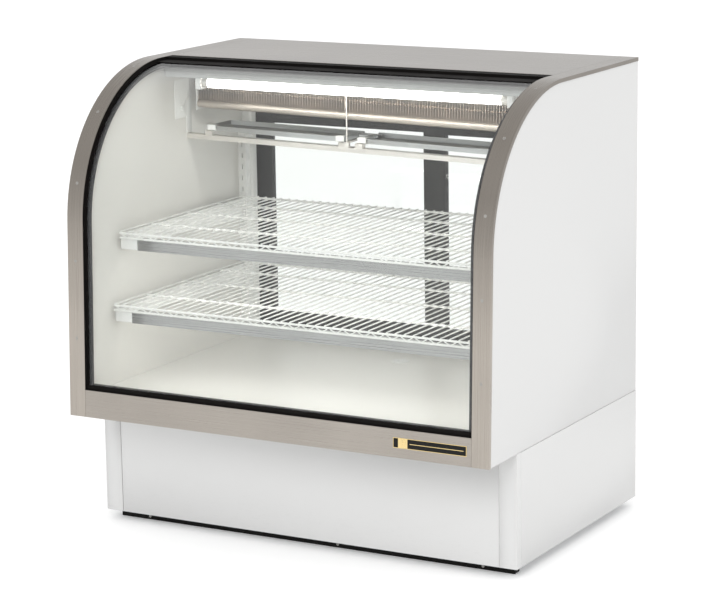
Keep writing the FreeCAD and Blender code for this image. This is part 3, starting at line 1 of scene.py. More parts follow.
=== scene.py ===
"""Looks of the refrigerated deli case: materials, fine detail, light and camera.

The frame is in metres. Detail pieces are drawn in millimetres and scaled when they are made.
"""

import bpy
import json
import math
from mathutils import Matrix, Vector


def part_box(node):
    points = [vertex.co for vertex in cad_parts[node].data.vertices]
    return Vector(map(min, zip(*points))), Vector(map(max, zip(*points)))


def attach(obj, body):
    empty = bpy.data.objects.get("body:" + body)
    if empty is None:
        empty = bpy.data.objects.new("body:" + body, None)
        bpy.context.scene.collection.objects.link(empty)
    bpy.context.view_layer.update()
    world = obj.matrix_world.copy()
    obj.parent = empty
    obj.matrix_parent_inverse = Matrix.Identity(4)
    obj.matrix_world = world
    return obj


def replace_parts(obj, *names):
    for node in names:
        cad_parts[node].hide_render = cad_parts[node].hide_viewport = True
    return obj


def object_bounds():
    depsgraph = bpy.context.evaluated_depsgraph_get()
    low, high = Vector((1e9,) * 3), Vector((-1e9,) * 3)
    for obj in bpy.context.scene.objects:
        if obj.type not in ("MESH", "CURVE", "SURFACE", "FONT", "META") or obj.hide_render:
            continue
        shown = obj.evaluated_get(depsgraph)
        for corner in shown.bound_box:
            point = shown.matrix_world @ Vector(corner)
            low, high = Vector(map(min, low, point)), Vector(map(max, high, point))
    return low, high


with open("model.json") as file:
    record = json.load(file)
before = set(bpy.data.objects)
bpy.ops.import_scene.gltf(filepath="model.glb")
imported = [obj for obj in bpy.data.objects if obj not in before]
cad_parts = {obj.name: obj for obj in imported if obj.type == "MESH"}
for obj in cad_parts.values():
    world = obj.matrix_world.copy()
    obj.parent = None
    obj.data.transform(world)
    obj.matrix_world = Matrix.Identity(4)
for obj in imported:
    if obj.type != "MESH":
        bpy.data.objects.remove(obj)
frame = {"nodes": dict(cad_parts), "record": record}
CAD_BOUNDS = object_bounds()
NODES = frame["nodes"]

MM = 0.001
FRONT_LEAN = math.radians(2.0)


# ---------------------------------------------------------------- material nodes
class Look:
    """A material's node tree with one Principled shader, and short ways to add to it."""

    def __init__(self, name, color, **values):
        self.mat = bpy.data.materials.new(name)
        self.mat.use_nodes = True
        self.tree = self.mat.node_tree
        self.shader = self.tree.nodes["Principled BSDF"]
        self.output = self.tree.nodes["Material Output"]
        self.color = color
        self.set(base_color=(*color, 1.0), **values)

    def set(self, **values):
        """Sets the shader's own sockets."""
        for name, value in values.items():
            socket = name.replace("_", " ").title().replace("Ior", "IOR")
            self.shader.inputs[socket].default_value = value

    def node(self, kind, **values):
        made = self.tree.nodes.new("ShaderNode" + kind)
        for name, value in values.items():
            socket = name.replace("_", " ").title()
            if socket in made.inputs:
                made.inputs[socket].default_value = value
            else:
                setattr(made, name, value)
        return made

    def link(self, source, target):
        self.tree.links.new(source, target)

    def place(self, stretch=(1, 1, 1)):
        """Object coordinates in metres, scaled by stretch."""
        mapping = self.node("Mapping", scale=stretch)
        self.link(self.node("TexCoord").outputs["Object"], mapping.inputs["Vector"])
        return mapping.outputs["Vector"]

    def noise(self, scale, detail=2.0, stretch=(1, 1, 1)):
        made = self.node("TexNoise", scale=scale, detail=detail)
        self.link(self.place(stretch), made.inputs["Vector"])
        return made.outputs["Fac"]

    def cells(self, scale, output="Distance"):
        """Voronoi cells, for zinc spangle and foam."""
        made = self.node("TexVoronoi", scale=scale)
        self.link(self.place(), made.inputs["Vector"])
        return made.outputs[output]

    def height(self):
        """Object Z in metres."""
        split = self.node("SeparateXYZ")
        self.link(self.node("TexCoord").outputs["Object"], split.inputs[0])
        return split.outputs["Z"]

    def span(self, source, low, high, from_low=0.3, from_high=0.7):
        """Maps a value from one range onto low to high."""
        made = self.node("MapRange", from_min=from_low, from_max=from_high, to_min=low, to_max=high)
        self.link(source, made.inputs["Value"])
        return made.outputs["Result"]

    def math(self, operation, first, second):
        made = self.node("Math", operation=operation)
        for socket, value in zip(made.inputs, (first, second)):
            if isinstance(value, (int, float)):
                socket.default_value = value
            else:
                self.link(value, socket)
        return made.outputs[0]

    def tint(self, factor, color):
        """Lays color over the base colour by factor."""
        made = self.node("Mix", data_type="RGBA")
        base = self.shader.inputs["Base Color"]
        made.inputs[6].default_value = base.default_value
        if base.is_linked:
            self.link(base.links[0].from_socket, made.inputs[6])
        made.inputs[7].default_value = (*color, 1.0)
        self.link(factor, made.inputs[0])
        self.link(made.outputs[2], base)

    def vary(self, amount, scale, stretch=(1, 1, 1), detail=3.0):
        """Lets the colour drift by amount at that scale."""
        darker = tuple(c * (1 - amount) for c in self.color)
        lighter = tuple(min(1.0, c * (1 + amount)) for c in self.color)
        self.set(base_color=(*darker, 1.0))
        self.tint(self.span(self.noise(scale, detail, stretch), 0, 1), lighter)

    def roughen(self, low, high, scale, stretch=(1, 1, 1)):
        self.link(self.span(self.noise(scale, 3.0, stretch), low, high), self.shader.inputs["Roughness"])

    def bump(self, source, depth):
        """Adds relief of that depth in metres on top of any there is."""
        made = self.node("Bump", distance=depth)
        self.link(source, made.inputs["Height"])
        normal = self.shader.inputs["Normal"]
        if normal.is_linked:
            self.link(normal.links[0].from_socket, made.inputs["Normal"])
        self.link(made.outputs["Normal"], normal)


# ---------------------------------------------------------------- materials
ALONG_X = (4, 1300, 1300)
ALONG_TRIM = (1300, 4, 4)
ALONG_Z = (1300, 1300, 5)
STEEL = (0.39, 0.358, 0.322)


def enamel(name, color, rough=(0.34, 0.42), scuffs=0.0):
    """Sprayed enamel with a faint orange peel, and scuffs towards the floor."""
    look = Look(name, color, specular_ior_level=0.4)
    look.vary(0.008, 1.5)
    look.roughen(*rough, 3.0)
    look.bump(look.noise(220.0, 1.0), 0.0000015)
    if scuffs:
        low = look.span(look.height(), 1, 0, 0.0, 0.16)
        marks = look.span(look.noise(60.0, 6.0, (1, 1, 3)), 0, scuffs, 0.56, 0.74)
        look.tint(look.math("MULTIPLY", low, marks), tuple(c * 0.55 for c in color))
    return look.mat


def brushed(name, color, stretch, rough=(0.24, 0.36), drift=0.10):
    """Brushed metal: fine scratches along the axis where stretch is low, with broad cloudy patches."""
    look = Look(name, color, metallic=1.0)
    look.vary(drift, 1.0, stretch)
    look.tint(look.span(look.noise(4.0, 2.0), 0, 0.35), tuple(c * 0.72 for c in color))
    look.roughen(*rough, 1.0, stretch)
    look.bump(look.noise(1.0, 4.0, stretch), 0.000012)
    return look.mat


def trim_with_painted_shade(name, color):
    """Brushed trim with painted shade that darkens it towards its top, standing in for the dim reflection
    where the curve faces the ceiling.
    """
    look = Look(name, color, metallic=1.0)
    look.vary(0.12, 1.0, ALONG_TRIM)
    # painted shade: the trim's colour darkens with height, in place of the dim reflection the upper curve
    # would show
    look.tint(look.span(look.height(), 0, 0.85, 0.60, 0.98), tuple(c * 0.42 for c in color))
    look.tint(look.span(look.noise(5.0, 2.0), 0, 0.3), tuple(c * 0.72 for c in color))
    look.roughen(0.24, 0.36, 1.0, ALONG_TRIM)
    look.bump(look.noise(1.0, 4.0, ALONG_TRIM), 0.000012)
    return look.mat


def clear_glass(name, tint):
    """Thin clear glass: nothing is bent, and the mirror's share grows towards grazing sight."""
    look = Look(name, tint)
    look.tree.nodes.remove(look.shader)
    through = look.node("BsdfTransparent", color=(*tint, 1.0))
    mirror = look.node("BsdfGlossy", roughness=0.02)
    weight = look.node("LayerWeight")
    steep = look.math("POWER", weight.outputs["Facing"], 5.0)
    share = look.math("MULTIPLY_ADD", steep, 0.75)
    share.node.inputs[2].default_value = 0.022
    mix = look.node("MixShader")
    look.link(share, mix.inputs[0])
    look.link(through.outputs[0], mix.inputs[1])
    look.link(mirror.outputs[0], mix.inputs[2])
    look.link(mix.outputs[0], look.output.inputs["Surface"])
    return look.mat


def plastic(name, color, rough, grain=900.0, depth=0.00001, shine=0.5):
    """Moulded plastic or rubber with a fine grain and dusty patches."""
    look = Look(name, color, specular_ior_level=shine)
    look.vary(0.05, 9.0)
    look.roughen(rough - 0.05, rough + 0.08, 18.0)
    look.bump(look.noise(grain, 2.0), depth)
    return look.mat


def metal(name, color, rough, drift=0.08, scale=14.0):
    look = Look(name, color, metallic=1.0)
    look.vary(drift, scale)
    look.roughen(rough - 0.06, rough + 0.1, scale * 2)
    look.bump(look.noise(160.0, 3.0), 0.00003)
    return look.mat


def spangled(name, color):
    """Galvanised sheet: zinc crystals of differing grey."""
    look = Look(name, color, metallic=1.0)
    look.tint(look.span(look.cells(110.0, "Color"), 0, 0.5, 0.2, 0.9), tuple(c * 0.6 for c in color))
    look.roughen(0.32, 0.5, 40.0)
    look.bump(look.cells(110.0), 0.00003)
    return look.mat


def aged_copper(name, color):
    """Copper pipe with brown oxide patches."""
    look = Look(name, color, metallic=1.0)
    look.vary(0.12, 30.0)
    look.tint(look.span(look.noise(18.0, 5.0), 0, 0.6, 0.5, 0.72), (0.20, 0.10, 0.07))
    look.roughen(0.22, 0.42, 25.0)
    look.bump(look.noise(300.0, 2.0), 0.00003)
    return look.mat


def foamed(name, color):
    look = Look(name, color, roughness=0.9)
    look.vary(0.1, 30.0)
    look.bump(look.cells(500.0), 0.0004)
    return look.mat


def glow(name, color, strength):
    """A lit lamp tube with a slightly uneven phosphor."""
    look = Look(name, color, roughness=0.3, emission_color=(*color, 1.0))
    look.vary(0.03, 6.0)
    uneven = look.span(look.noise(5.0), strength * 0.95, strength * 1.05)
    look.link(uneven, look.shader.inputs["Emission Strength"])
    return look.mat


def make_looks():
    """One look for each material slot of the record."""
    return {
        "white_enamel": enamel("white_enamel", (0.63, 0.63, 0.625), scuffs=0.1),
        "white_liner": enamel("white_liner", (0.75, 0.735, 0.70)),
        "stainless": trim_with_painted_shade("stainless", (0.42, 0.382, 0.34)),
        # painted shade: the top's stainless is a darker copy of the trims' steel, standing in for the dim
        # reflection a flat top shows
        "stainless_top": brushed("stainless_top", (0.25, 0.23, 0.208), ALONG_X, drift=0.16),
        "screw_steel": metal("screw_steel", (0.38, 0.37, 0.35), 0.35),
        "foam": foamed("foam", (0.80, 0.70, 0.42)),
        "badge_black": plastic("badge_black", (0.008, 0.008, 0.007), 0.45, shine=0.2),
        "seal_black": plastic("seal_black", (0.005, 0.004, 0.0035), 0.75, shine=0.12),
        "spacer_black": plastic("spacer_black", (0.02, 0.02, 0.022), 0.4),
        "clear_glass": clear_glass("clear_glass", (0.988, 0.992, 0.989)),
        "black_frame": plastic("black_frame", (0.006, 0.0055, 0.005), 0.6, shine=0.15),
        "galvanised": spangled("galvanised", (0.58, 0.60, 0.61)),
        "black_plastic": plastic("black_plastic", (0.016, 0.016, 0.017), 0.5, 500.0, 0.00003),
        "black_gloss": plastic("black_gloss", (0.01, 0.01, 0.011), 0.18),
        "door_aluminium": brushed("door_aluminium", (0.55, 0.56, 0.56), ALONG_X),
        "door_sash_finish": plastic("door_sash_finish", (0.022, 0.021, 0.020), 0.42, 300.0, 0.000004, 0.35),
        "nylon": plastic("nylon", (0.75, 0.74, 0.70), 0.35),
        "shelf_white": plastic("shelf_white", (0.86, 0.86, 0.84), 0.25, 300.0, 0.00004),
        "lamp_grey": brushed("lamp_grey", (0.40, 0.40, 0.40), ALONG_X),
        "lamp_white": plastic("lamp_white", (0.84, 0.84, 0.83), 0.3),
        "lamp_glow": glow("lamp_glow", (1.0, 0.99, 0.97), 9.0),
        "coil_fins": metal("coil_fins", (0.74, 0.66, 0.59), 0.5),
        "copper": aged_copper("copper", (0.72, 0.38, 0.24)),
        "bright_aluminium": brushed("bright_aluminium", (0.86, 0.83, 0.79), ALONG_X, (0.45, 0.6)),
        "pan_metal": brushed("pan_metal", (0.52, 0.53, 0.53), ALONG_X, (0.3, 0.42)),
        "drain_white": plastic("drain_white", (0.82, 0.82, 0.80), 0.35),
        "compressor_black": plastic("compressor_black", (0.012, 0.012, 0.013), 0.35, 250.0, 0.00006),
        "condenser_grey": metal("condenser_grey", (0.35, 0.36, 0.37), 0.5),
        "motor_grey": plastic("motor_grey", (0.12, 0.125, 0.13), 0.4),
        "fan_metal": metal("fan_metal", (0.60, 0.61, 0.62), 0.35),
    }


LOOKS = make_looks()
GILT = metal("gilt", (0.80, 0.62, 0.30), 0.25)

NODE_LOOKS = {
    "front_rail": brushed("stainless_rail", STEEL, ALONG_X),
    "rear_sill": brushed("stainless_sill", STEEL, ALONG_X),
    "top_lamp_hood": enamel("hood_grey", (0.50, 0.51, 0.50)),
    "coil_band": brushed("band_metal", (0.62, 0.56, 0.50), ALONG_Z, (0.5, 0.6)),
    "evaporator_tubes": metal("coil_tube", (0.30, 0.25, 0.21), 0.45),
    "coil_brackets": enamel("bracket_white", (0.80, 0.80, 0.78)),
}
SOFTENED = {
    "end_panels": 0.6,
    "base_posts": 0.6,
    "base_sides": 0.6,
    "base_front_panel": 0.6,
    "base_frame": 0.5,
    "lamp_holders": 0.4,
    "coil_brackets": 0.35,
    "drip_pans": 0.3,
    "pan_frame": 0.4,
    "compressor": 1.5,
    "fan_motor": 1.0,
    "electrical_fittings": 0.3,
    "light_switch": 0.4,
}


def soften(piece, width):
    """Rounds the sharp edges of a piece by that width in millimetres."""
    weld = piece.modifiers.new("weld", "WELD")
    weld.merge_threshold = 0.00001
    bevel = piece.modifiers.new("bevel", "BEVEL")
    bevel.width = width * MM
    bevel.segments = 2
    bevel.limit_method = "ANGLE"
    bevel.angle_limit = math.radians(35)
    bevel.harden_normals = True


def dress_nodes():
    """Gives each CAD node the look of its slot, smooths its curved faces and softens its folds."""
    for part in frame["record"]["subparts"]:
        piece = NODES[part["node"]]
        mesh = piece.data
        mesh.materials.clear()
        mesh.materials.append(NODE_LOOKS.get(part["node"], LOOKS[part["material_slot"]]))
        mesh.polygons.foreach_set("use_smooth", [True] * len(mesh.polygons))
        mesh.set_sharp_from_angle(angle=math.radians(30))
        if part["node"] in SOFTENED:
            soften(piece, SOFTENED[part["node"]])


dress_nodes()


# ---------------------------------------------------------------- mesh helpers
def span_of(node):
    """(x0, y0, z0), (x1, y1, z1) of a CAD node in millimetres."""
    low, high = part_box(node)
    return low / MM, high / MM


AXES = {"x": Vector((1, 0, 0)), "y": Vector((0, 1, 0)), "z": Vector((0, 0, 1))}


def across(axis):
    """Two directions that make a right-handed frame with axis."""
    helper = AXES["z"] if abs(axis.z) < 0.9 else AXES["x"]
    side = helper.cross(axis).normalized()
    return side, axis.cross(side)


class Form:
    """The faces of one piece, in millimetres."""

    def __init__(self):
        self.points = []
        self.faces = []

    def add(self, points, faces):
        base = len(self.points)
        self.points += [tuple(p) for p in points]
        self.faces += [tuple(base + i for i in face) for face in faces]

    def loft(self, rings, closed=False, caps=True):
        """Skins rings of equal length, one after another."""
        count = len(rings[0])
        points = [p for ring in rings for p in ring]
        faces = []
        for n in range(len(rings) if closed else len(rings) - 1):
            a, b = n * count, (n + 1) % len(rings) * count
            for i in range(count):
                j = (i + 1) % count
                faces.append((a + i, a + j, b + j, b + i))
        if caps and not closed:
            faces.append(tuple(reversed(range(count))))
            faces.append(tuple(range((len(rings) - 1) * count, len(rings) * count)))
        self.add(points, faces)

    def box(self, x0, x1, y0, y1, z0, z1):
        self.loft([[(x0, y0, z), (x1, y0, z), (x1, y1, z), (x0, y1, z)] for z in (z0, z1)])

    def prism_z(self, outline, z0, z1):
        self.loft([[(x, y, z) for x, y in outline] for z in (z0, z1)])

    def tube(self, path, radius, sides=12, closed=False):
        """A round bar along a path of points."""
        path = [Vector(p) for p in path]
        count = len(path)
        side = None
        rings = []
        for n, point in enumerate(path):
            before = path[n - 1] if n or closed else point
            after = path[(n + 1) % count] if n + 1 < count or closed else point
            ahead = (after - before).normalized()
            side = across(ahead)[0] if side is None else (side - ahead * side.dot(ahead)).normalized()
            up = ahead.cross(side)
            rings.append(
                [
                    point + radius * (math.cos(t) * side + math.sin(t) * up)
                    for t in (2 * math.pi * k / sides for k in range(sides))
                ]
            )
        self.loft(rings, closed)

    def lathe(self, place, axis, profile, sides=24):
        """Turns a profile of (distance along the axis, radius) about an axis through place."""
        place = Vector(place)
        side, up = across(axis)
        rings = []
        for along, radius in profile:
            centre = place + axis * along
            rings.append(
                [
                    centre + radius * (math.cos(t) * side + math.sin(t) * up)
                    for t in (2 * math.pi * k / sides for k in range(sides))
                ]
            )
        self.loft(rings)

    def circle(self, place, axis, radius, wire, sides=8, steps=48):
        """A ring of round wire."""
        side, up = across(axis)
        turns = (2 * math.pi * k / steps for k in range(steps))
        path = [Vector(place) + radius * (math.cos(t) * side + math.sin(t) * up) for t in turns]
        self.tube(path, wire, sides, closed=True)

    def screw(self, place, axis, radius=4.0):
        """A domed pan head."""
        dome = [(0, radius), (0.9, radius), (1.6, radius * 0.82), (2.0, radius * 0.5), (2.05, 0.05)]
        self.lathe(place, axis, dome, 20)

    def piece(self, name, slot, body="case", look=None, bevel=0.0):
        mesh = bpy.data.meshes.new(name)
        mesh.from_pydata([tuple(c * MM for c in p) for p in self.points], [], self.faces)
        mesh.materials.append(look or LOOKS[slot])
        mesh.polygons.foreach_set("use_smooth", [True] * len(mesh.polygons))
        mesh.set_sharp_from_angle(angle=math.radians(35))
        made = bpy.data.objects.new(name, mesh)
        bpy.context.collection.objects.link(made)
        if bevel:
            soften(made, bevel)
        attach(made, body)
        return made


def arc(centre, radius, start, end, steps, plane):
    """Points on an arc in the plane of two directions."""
    first, second = plane
    angles = (math.radians(start + (end - start) * k / steps) for k in range(steps + 1))
    return [Vector(centre) + radius * (math.cos(t) * first + math.sin(t) * second) for t in angles]


OUT = -AXES["y"]  # towards the customer
BACK = AXES["y"]


# ---------------------------------------------------------------- badge
def on_front(x, z, proud):
    """A point that stands proud of the leaning rail."""
    low, _ = span_of("front_rail")
    return Vector((x, low.y + (z - low.z) * math.tan(FRONT_LEAN) - proud, z))


def rail_slab(form, x0, x1, z0, z1, low, high):
    """A flat block on the rail, from low to high proud of its face."""
    corners = ((x0, z0), (x1, z0), (x1, z1), (x0, z1))
    form.loft([[on_front(x, z, p) for x, z in corners] for p in (low, high)])


def badge():
    """A blank black plate with a gilt rim, a plain round boss and one gilt line; it has no lettering."""
    (x0, _, z0), (x1, _, z1) = span_of("badge_plate")
    plate = Form()
    rail_slab(plate, x0 + 0.5, x1 - 0.5, z0 + 0.5, z1 - 0.5, -0.2, 0.45)
    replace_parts(plate.piece("badge_face", "badge_black"), "badge_plate")
    gilt = Form()
    rim = 1.3
    rail_slab(gilt, x0, x1, z1 - rim, z1, 0, 0.75)
    rail_slab(gilt, x0, x1, z0, z0 + rim, 0, 0.75)
    rail_slab(gilt, x0, x0 + rim, z0 + rim, z1 - rim, 0, 0.75)
    rail_slab(gilt, x1 - rim, x1, z0 + rim, z1 - rim, 0, 0.75)
    rail_slab(gilt, x0 + 14, x0 + 40, z0 + rim, z1 - rim, 0.3, 0.6)
    middle = (z0 + z1) / 2
    rail_slab(gilt, x0 + 46, x1 - 8, middle - 0.8, middle + 0.8, 0.4, 0.7)
    gilt.piece("badge_gilt", "copper", look=GILT, bevel=0.15)
    boss = Form()
    out = (on_front(0, 0, 1) - on_front(0, 0, 0)).normalized()
    centre = on_front(x0 + 27, middle, 0)
    rings = [(0.5, 9), (0.7, 9), (0.72, 7.4), (0.62, 7.2), (0.62, 5.4), (0.76, 5.2), (0.8, 0.05)]
    boss.lathe(centre, out, rings, 32)
    boss.piece("badge_boss", "copper", look=GILT)


# ---------------------------------------------------------------- lamps
def shelf_front(shelf):
    """(y, z) of the front line and the top of a wire shelf."""
    low, high = span_of(shelf)
    return low.y + 3.0, high.z


def lamp_lines():
    """(y, z, tube radius, half length) of each lamp."""
    hood_low, _ = span_of("top_lamp_hood")
    _, tubes_high = span_of("lamp_tubes")
    radius = 12.5
    lines = [(hood_low.y + 18.0, tubes_high.z - radius, radius, 455.0)]
    for shelf in ("upper_shelf", "lower_shelf"):
        y, z = shelf_front(shelf)
        lines.append((y + 25.0, z - 39.0, 8.0, tubes_high.x - 5.0))
    return lines


# (distance from the tube's end, proud of the tube) round a cap
CAP_PROFILE = ((-19, 0), (-18.6, 0.35), (-3, 0.35), (-2.6, 0.7), (-0.2, 0.7))


def lamp_caps():
    """Metal end caps of the lamp tubes, outside their sockets."""
    caps = Form()
    for y, z, radius, half in lamp_lines():
        for side in (-1, 1):
            axis = AXES["x"] * side
            profile = [(along, radius + proud) for along, proud in CAP_PROFILE]
            caps.lathe((half * side, y, z), axis, profile, 32)
    caps.piece("lamp_end_caps", "bright_aluminium")


# ---------------------------------------------------------------- shelves
def wire_tips(shelf):
    """Domed coating on the cut ends of a shelf's wires."""
    _, high = span_of(shelf)
    front, top = shelf_front(shelf)
    back = high.y - 3.0
    x = high.x - 3.0
    count = int(2 * x // 25.0)
    dome = [(0, 2.05), (0.7, 1.95), (1.3, 1.6), (1.75, 1.0), (1.9, 0.05)]
    tips = Form()
    for n in range(count + 1):
        wx = -x + 2 * x * n / count
        tips.lathe((wx, front, top - 2.0), OUT, dome, 12)
        tips.lathe((wx, back, top - 2.0), BACK, dome, 12)
    tips.piece(shelf + "_tips", "shelf_white", body=shelf)


# ---------------------------------------------------------------- coil and pans
def riser_cover():
    """A white cover over the two refrigerant risers in the left rear corner."""
    low, high = span_of("shelf_posts")
    x0, y0, y1 = low.x + 0.4, high.y + 1.0, high.y + 27.0
    x1, corner, wall = x0 + 30, 9.0, 1.4
    outer = [(x0, y0)]
    plane = (AXES["x"], BACK)
    centre = (x1 - corner, y0 + corner, 0)
    outer += [tuple(p.xy) for p in arc(centre, corner, -90, 0, 8, plane)]
    outer += [(x1, y1)]
    inner = [(x1 - wall, y1)]
    inner += [tuple(p.xy) for p in arc(centre, corner - wall, 0, -90, 8, plane)]
    inner += [(x0, y0 + wall)]
    cover = Form()
    cover.prism_z(outer + inner, span_of("deck_pan")[1].z - 12, 1070.0)
    cover.piece("riser_cover", "drain_white")


CLIP_SPANS = ((-502, -477), (-101, -76), (-35, -10), (372, 397))
PAN_LIP_Z = 1017.3  # at the middle of the case
PAN_FALL = math.tan(math.radians(1.0))


def pan_clips():
    """White plastic ends on the front lips of the two drip pans."""
    y = span_of("drip_pans")[0].y - 1.2
    clips = Form()
    for x0, x1 in CLIP_SPANS:
        top = PAN_LIP_Z - PAN_FALL * (x0 + x1) / 2
        clips.box(x0, x1, y, y + 4.4, top - 12.5, top + 0.9)
        clips.box(x0, x1, y, y + 14.0, top + 0.2, top + 1.6)
    clips.piece("pan_end_clips", "drain_white", body="drip_pans", bevel=0.5)


# ---------------------------------------------------------------- base
def kick_seal():
    """A black rubber lip that closes the gap between the kick strip and the floor."""
    low, _ = span_of("base_frame")
    seal = Form()
    seal.box(low.x, -low.x, low.y, low.y + 2.0, 0.6, low.z + 0.4)
    seal.piece("kick_seal", "seal_black")


# ---------------------------------------------------------------- rear
def rear_screws():
    """Pan-head screws of the rear grille, its control panel and the door head."""
    screws = Form()
    (x0, _, z0), (x1, _, z1) = span_of("rear_grille")
    face = span_of("base_posts")[1].y + 1.5
    for x in (x0 + 9, (x0 + x1) / 2, x1 - 9):
        for z in (z0 + 9, z1 - 9):
            screws.screw((x, face, z), BACK)
    _, (cx1, _, _) = span_of("control_panel")
    for z in (z0 + 40, z1 - 40):
        screws.screw((cx1 - 6, face, z), BACK, 3.2)
    top_low, _ = span_of("top_panel")
    for n in range(5):
        x = (n - 2) * 260.0
        screws.screw((x, CAD_BOUNDS[1][1] / MM - 2.1, top_low.z + 14), BACK, 3.6)
    screws.piece("rear_screws", "screw_steel")


DIAL_R = 20  # where the marks begin, from the knob's axis


def dial():
    """Raised marks round the temperature knob and a line on the knob."""
    (x0, _, z0), (x1, y1, z1) = span_of("thermostat_knob")
    cx, cz = (x0 + x1) / 2, (z0 + z1) / 2
    face = span_of("control_panel")[0].y + 1.2
    marks = Form()
    for n in range(11):
        turn = math.radians(-150 + 30 * n)
        out = Vector((math.sin(turn), 0, math.cos(turn)))
        side = Vector((out.z, 0, -out.x))
        length = 6.0 if n % 2 == 0 else 3.5
        width = 0.9 if n % 2 == 0 else 0.5
        base = Vector((cx, face, cz))
        far = DIAL_R + length
        corners = ((DIAL_R, -width), (far, -width), (far, width), (DIAL_R, width))
        ring = [base + out * r + side * w for r, w in corners]
        marks.loft([[p - BACK * 0.1 for p in ring], [p + BACK * 0.35 for p in ring]])
    marks.piece("dial_marks", "black_plastic")
    line = Form()
    line.box(cx - 0.7, cx + 0.7, y1 - 0.9, y1 - 0.55, cz + 4.5, cz + 15)
    line.piece("knob_line", "lamp_white", body="thermostat_knob")


def door_seals():
    """Black brush seals on the two meeting stiles, between the doors."""
    for side in ("left", "right"):
        (x0, y0, z0), (x1, y1, z1) = span_of(side + "_door_sash")
        brush = Form()
        face = y0 if side == "left" else y1
        step = -1 if side == "left" else 1
        x = x1 - 12 if side == "left" else x0 + 12
        ys = sorted((face, face + 2.0 * step))
        brush.box(x - 3, x + 3, ys[0], ys[1], z0 + 30, z1 - 18)
        brush.piece(side + "_meeting_brush", "seal_black", body=side + "_door", bevel=0.8)


# ---------------------------------------------------------------- condensing unit
def fan_guard():
    """Wire rings and spokes between the fan and its motor."""
    (x0, y0, z0), (x1, _, z1) = span_of("condenser_fan")
    cx, cz = (x0 + x1) / 2, (z0 + z1) / 2
    y = y0 - 6
    guard = Form()
    for n in range(6):
        guard.circle((cx, y, cz), BACK, 48 + 11.5 * n, 1.3)
    for n in range(4):
        turn = math.radians(45 + 90 * n)
        out = Vector((math.cos(turn), 0, math.sin(turn)))
        centre = Vector((cx, y, cz))
        guard.tube([centre + out * 46, centre + out * 108], 2.0, 8)
    guard.piece("fan_guard", "screw_steel")


def condenser_bends():
    """Copper return bends on the condenser's two sides."""
    (x0, y0, z0), (x1, y1, z1) = span_of("condenser_coil")
    bends = Form()
    rows = 8
    pitch = (z1 - z0 - 40) / rows
    for side, x in ((-1, x0), (1, x1)):
        for n in range(rows):
            if (n % 2 == 0) == (side > 0):
                z = z0 + 20 + pitch * n
                for y in (y0 + 18, y1 - 18):
                    centre = (x + side * 3, y, z + pitch / 2)
                    path = [Vector((x - side, y, z))]
                    path += arc(centre, pitch / 2, -90, 90, 10, (AXES["x"] * side, AXES["z"]))
                    path += [Vector((x - side, y, z + pitch))]
                    bends.tube(path, 4.2, 10)
    bends.piece("condenser_bends", "copper")


COMPRESSOR_CENTRE = (-210.0, 230.0)


def compressor_fittings():
    """Rubber grommets and nuts on the feet."""
    low, _ = span_of("compressor")
    cx, cy = COMPRESSOR_CENTRE
    rubber = Form()
    nuts = Form()
    for dx in (-92, 92):
        for dy in (-64, 64):
            place = (cx + dx, cy + dy, low.z + 21)
            rubber.lathe(place, AXES["z"], [(0, 11), (3, 12.5), (5, 11), (6.5, 8), (6.6, 0.05)])
            x, y, z = place
            nuts.lathe((x, y, z + 6), AXES["z"], [(0, 5.5), (4, 5.5), (4.1, 0.05)], 6)
            nuts.lathe((x, y, z + 9), AXES["z"], [(0, 3), (5, 3), (5.6, 0.05)], 12)
    rubber.piece("compressor_grommets", "seal_black")
    nuts.piece("compressor_nuts", "screw_steel")


badge()
lamp_caps()
wire_tips("upper_shelf")
wire_tips("lower_shelf")
riser_cover()
pan_clips()
kick_seal()
rear_screws()
dial()
door_seals()
fan_guard()
condenser_bends()
compressor_fittings()


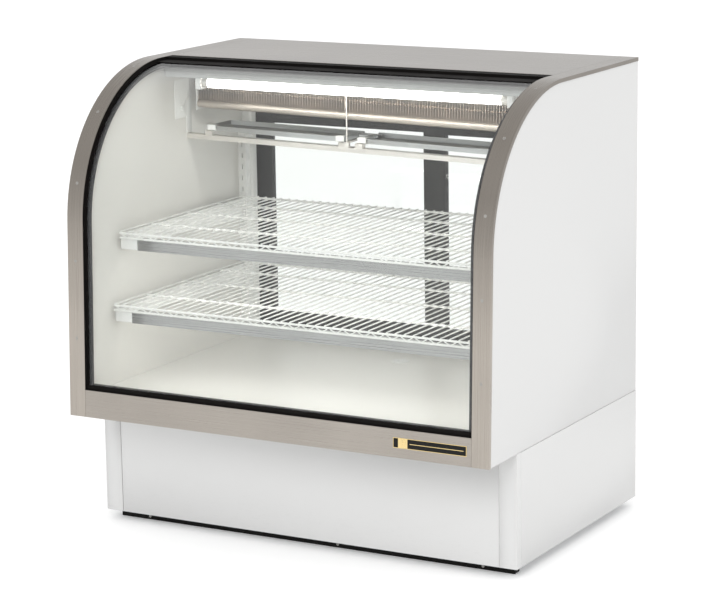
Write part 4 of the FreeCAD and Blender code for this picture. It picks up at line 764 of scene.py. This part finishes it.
# ---------------------------------------------------------------- floor, light and camera
def studio():
    mesh = bpy.data.meshes.new("floor")
    half = 40.0
    corners = [(-half, -half, 0), (half, -half, 0), (half, half, 0), (-half, half, 0)]
    mesh.from_pydata(corners, [], [(0, 1, 2, 3)])
    floor = bpy.data.objects.new("floor", mesh)
    bpy.context.collection.objects.link(floor)
    white = (1.0, 1.0, 1.0, 1.0)
    look = Look(
        "floor_white", (0.93, 0.93, 0.93), roughness=0.8, emission_color=white, emission_strength=0.15
    )
    mesh.materials.append(look.mat)

    world = bpy.data.worlds.new("studio")
    bpy.context.scene.world = world
    world.use_nodes = True
    world.node_tree.nodes["Background"].inputs["Color"].default_value = white
    world.node_tree.nodes["Background"].inputs["Strength"].default_value = 1.05


def softbox(name, place, aim, size, power):
    data = bpy.data.lights.new(name, "AREA")
    data.shape = "RECTANGLE"
    data.size, data.size_y = size
    data.energy = power
    lamp = bpy.data.objects.new(name, data)
    lamp.location = place
    lamp.rotation_euler = (Vector(aim) - Vector(place)).to_track_quat("-Z", "Y").to_euler()
    bpy.context.collection.objects.link(lamp)


CAMERA_PLACE = Vector((3.3973, -6.0733, 2.0673))
CAMERA_YAW = math.radians(29.23)
CAMERA_PITCH = math.radians(12.01)
CAMERA_ROLL = math.radians(0.85)
CAMERA_LENS = 136.5


def add_camera():
    ahead = Vector(
        (
            -math.sin(CAMERA_YAW) * math.cos(CAMERA_PITCH),
            math.cos(CAMERA_YAW) * math.cos(CAMERA_PITCH),
            -math.sin(CAMERA_PITCH),
        )
    )
    right = Vector((math.cos(CAMERA_YAW), math.sin(CAMERA_YAW), 0))
    down = ahead.cross(right)
    rolled_right = math.cos(CAMERA_ROLL) * right + math.sin(CAMERA_ROLL) * down
    rolled_down = math.cos(CAMERA_ROLL) * down - math.sin(CAMERA_ROLL) * right
    data = bpy.data.cameras.new("camera")
    data.sensor_width = 36.0
    data.lens = CAMERA_LENS
    camera = bpy.data.objects.new("camera", data)
    columns = (rolled_right, -rolled_down, -ahead, CAMERA_PLACE)
    camera.matrix_world = Matrix([[c[i] for c in columns] for i in range(3)] + [[0, 0, 0, 1]])
    bpy.context.collection.objects.link(camera)
    bpy.context.scene.camera = camera


studio()
softbox("key", (2.2, -5.5, 4.0), (0, 0, 0.6), (2.5, 2.5), 90)
softbox("side", (5.5, 0.5, 3.0), (0, 0, 0.6), (2.5, 2.5), 20)
add_camera()
bpy.context.scene.view_settings.view_transform = "Standard"
bpy.context.scene.cycles.transparent_max_bounces = 32
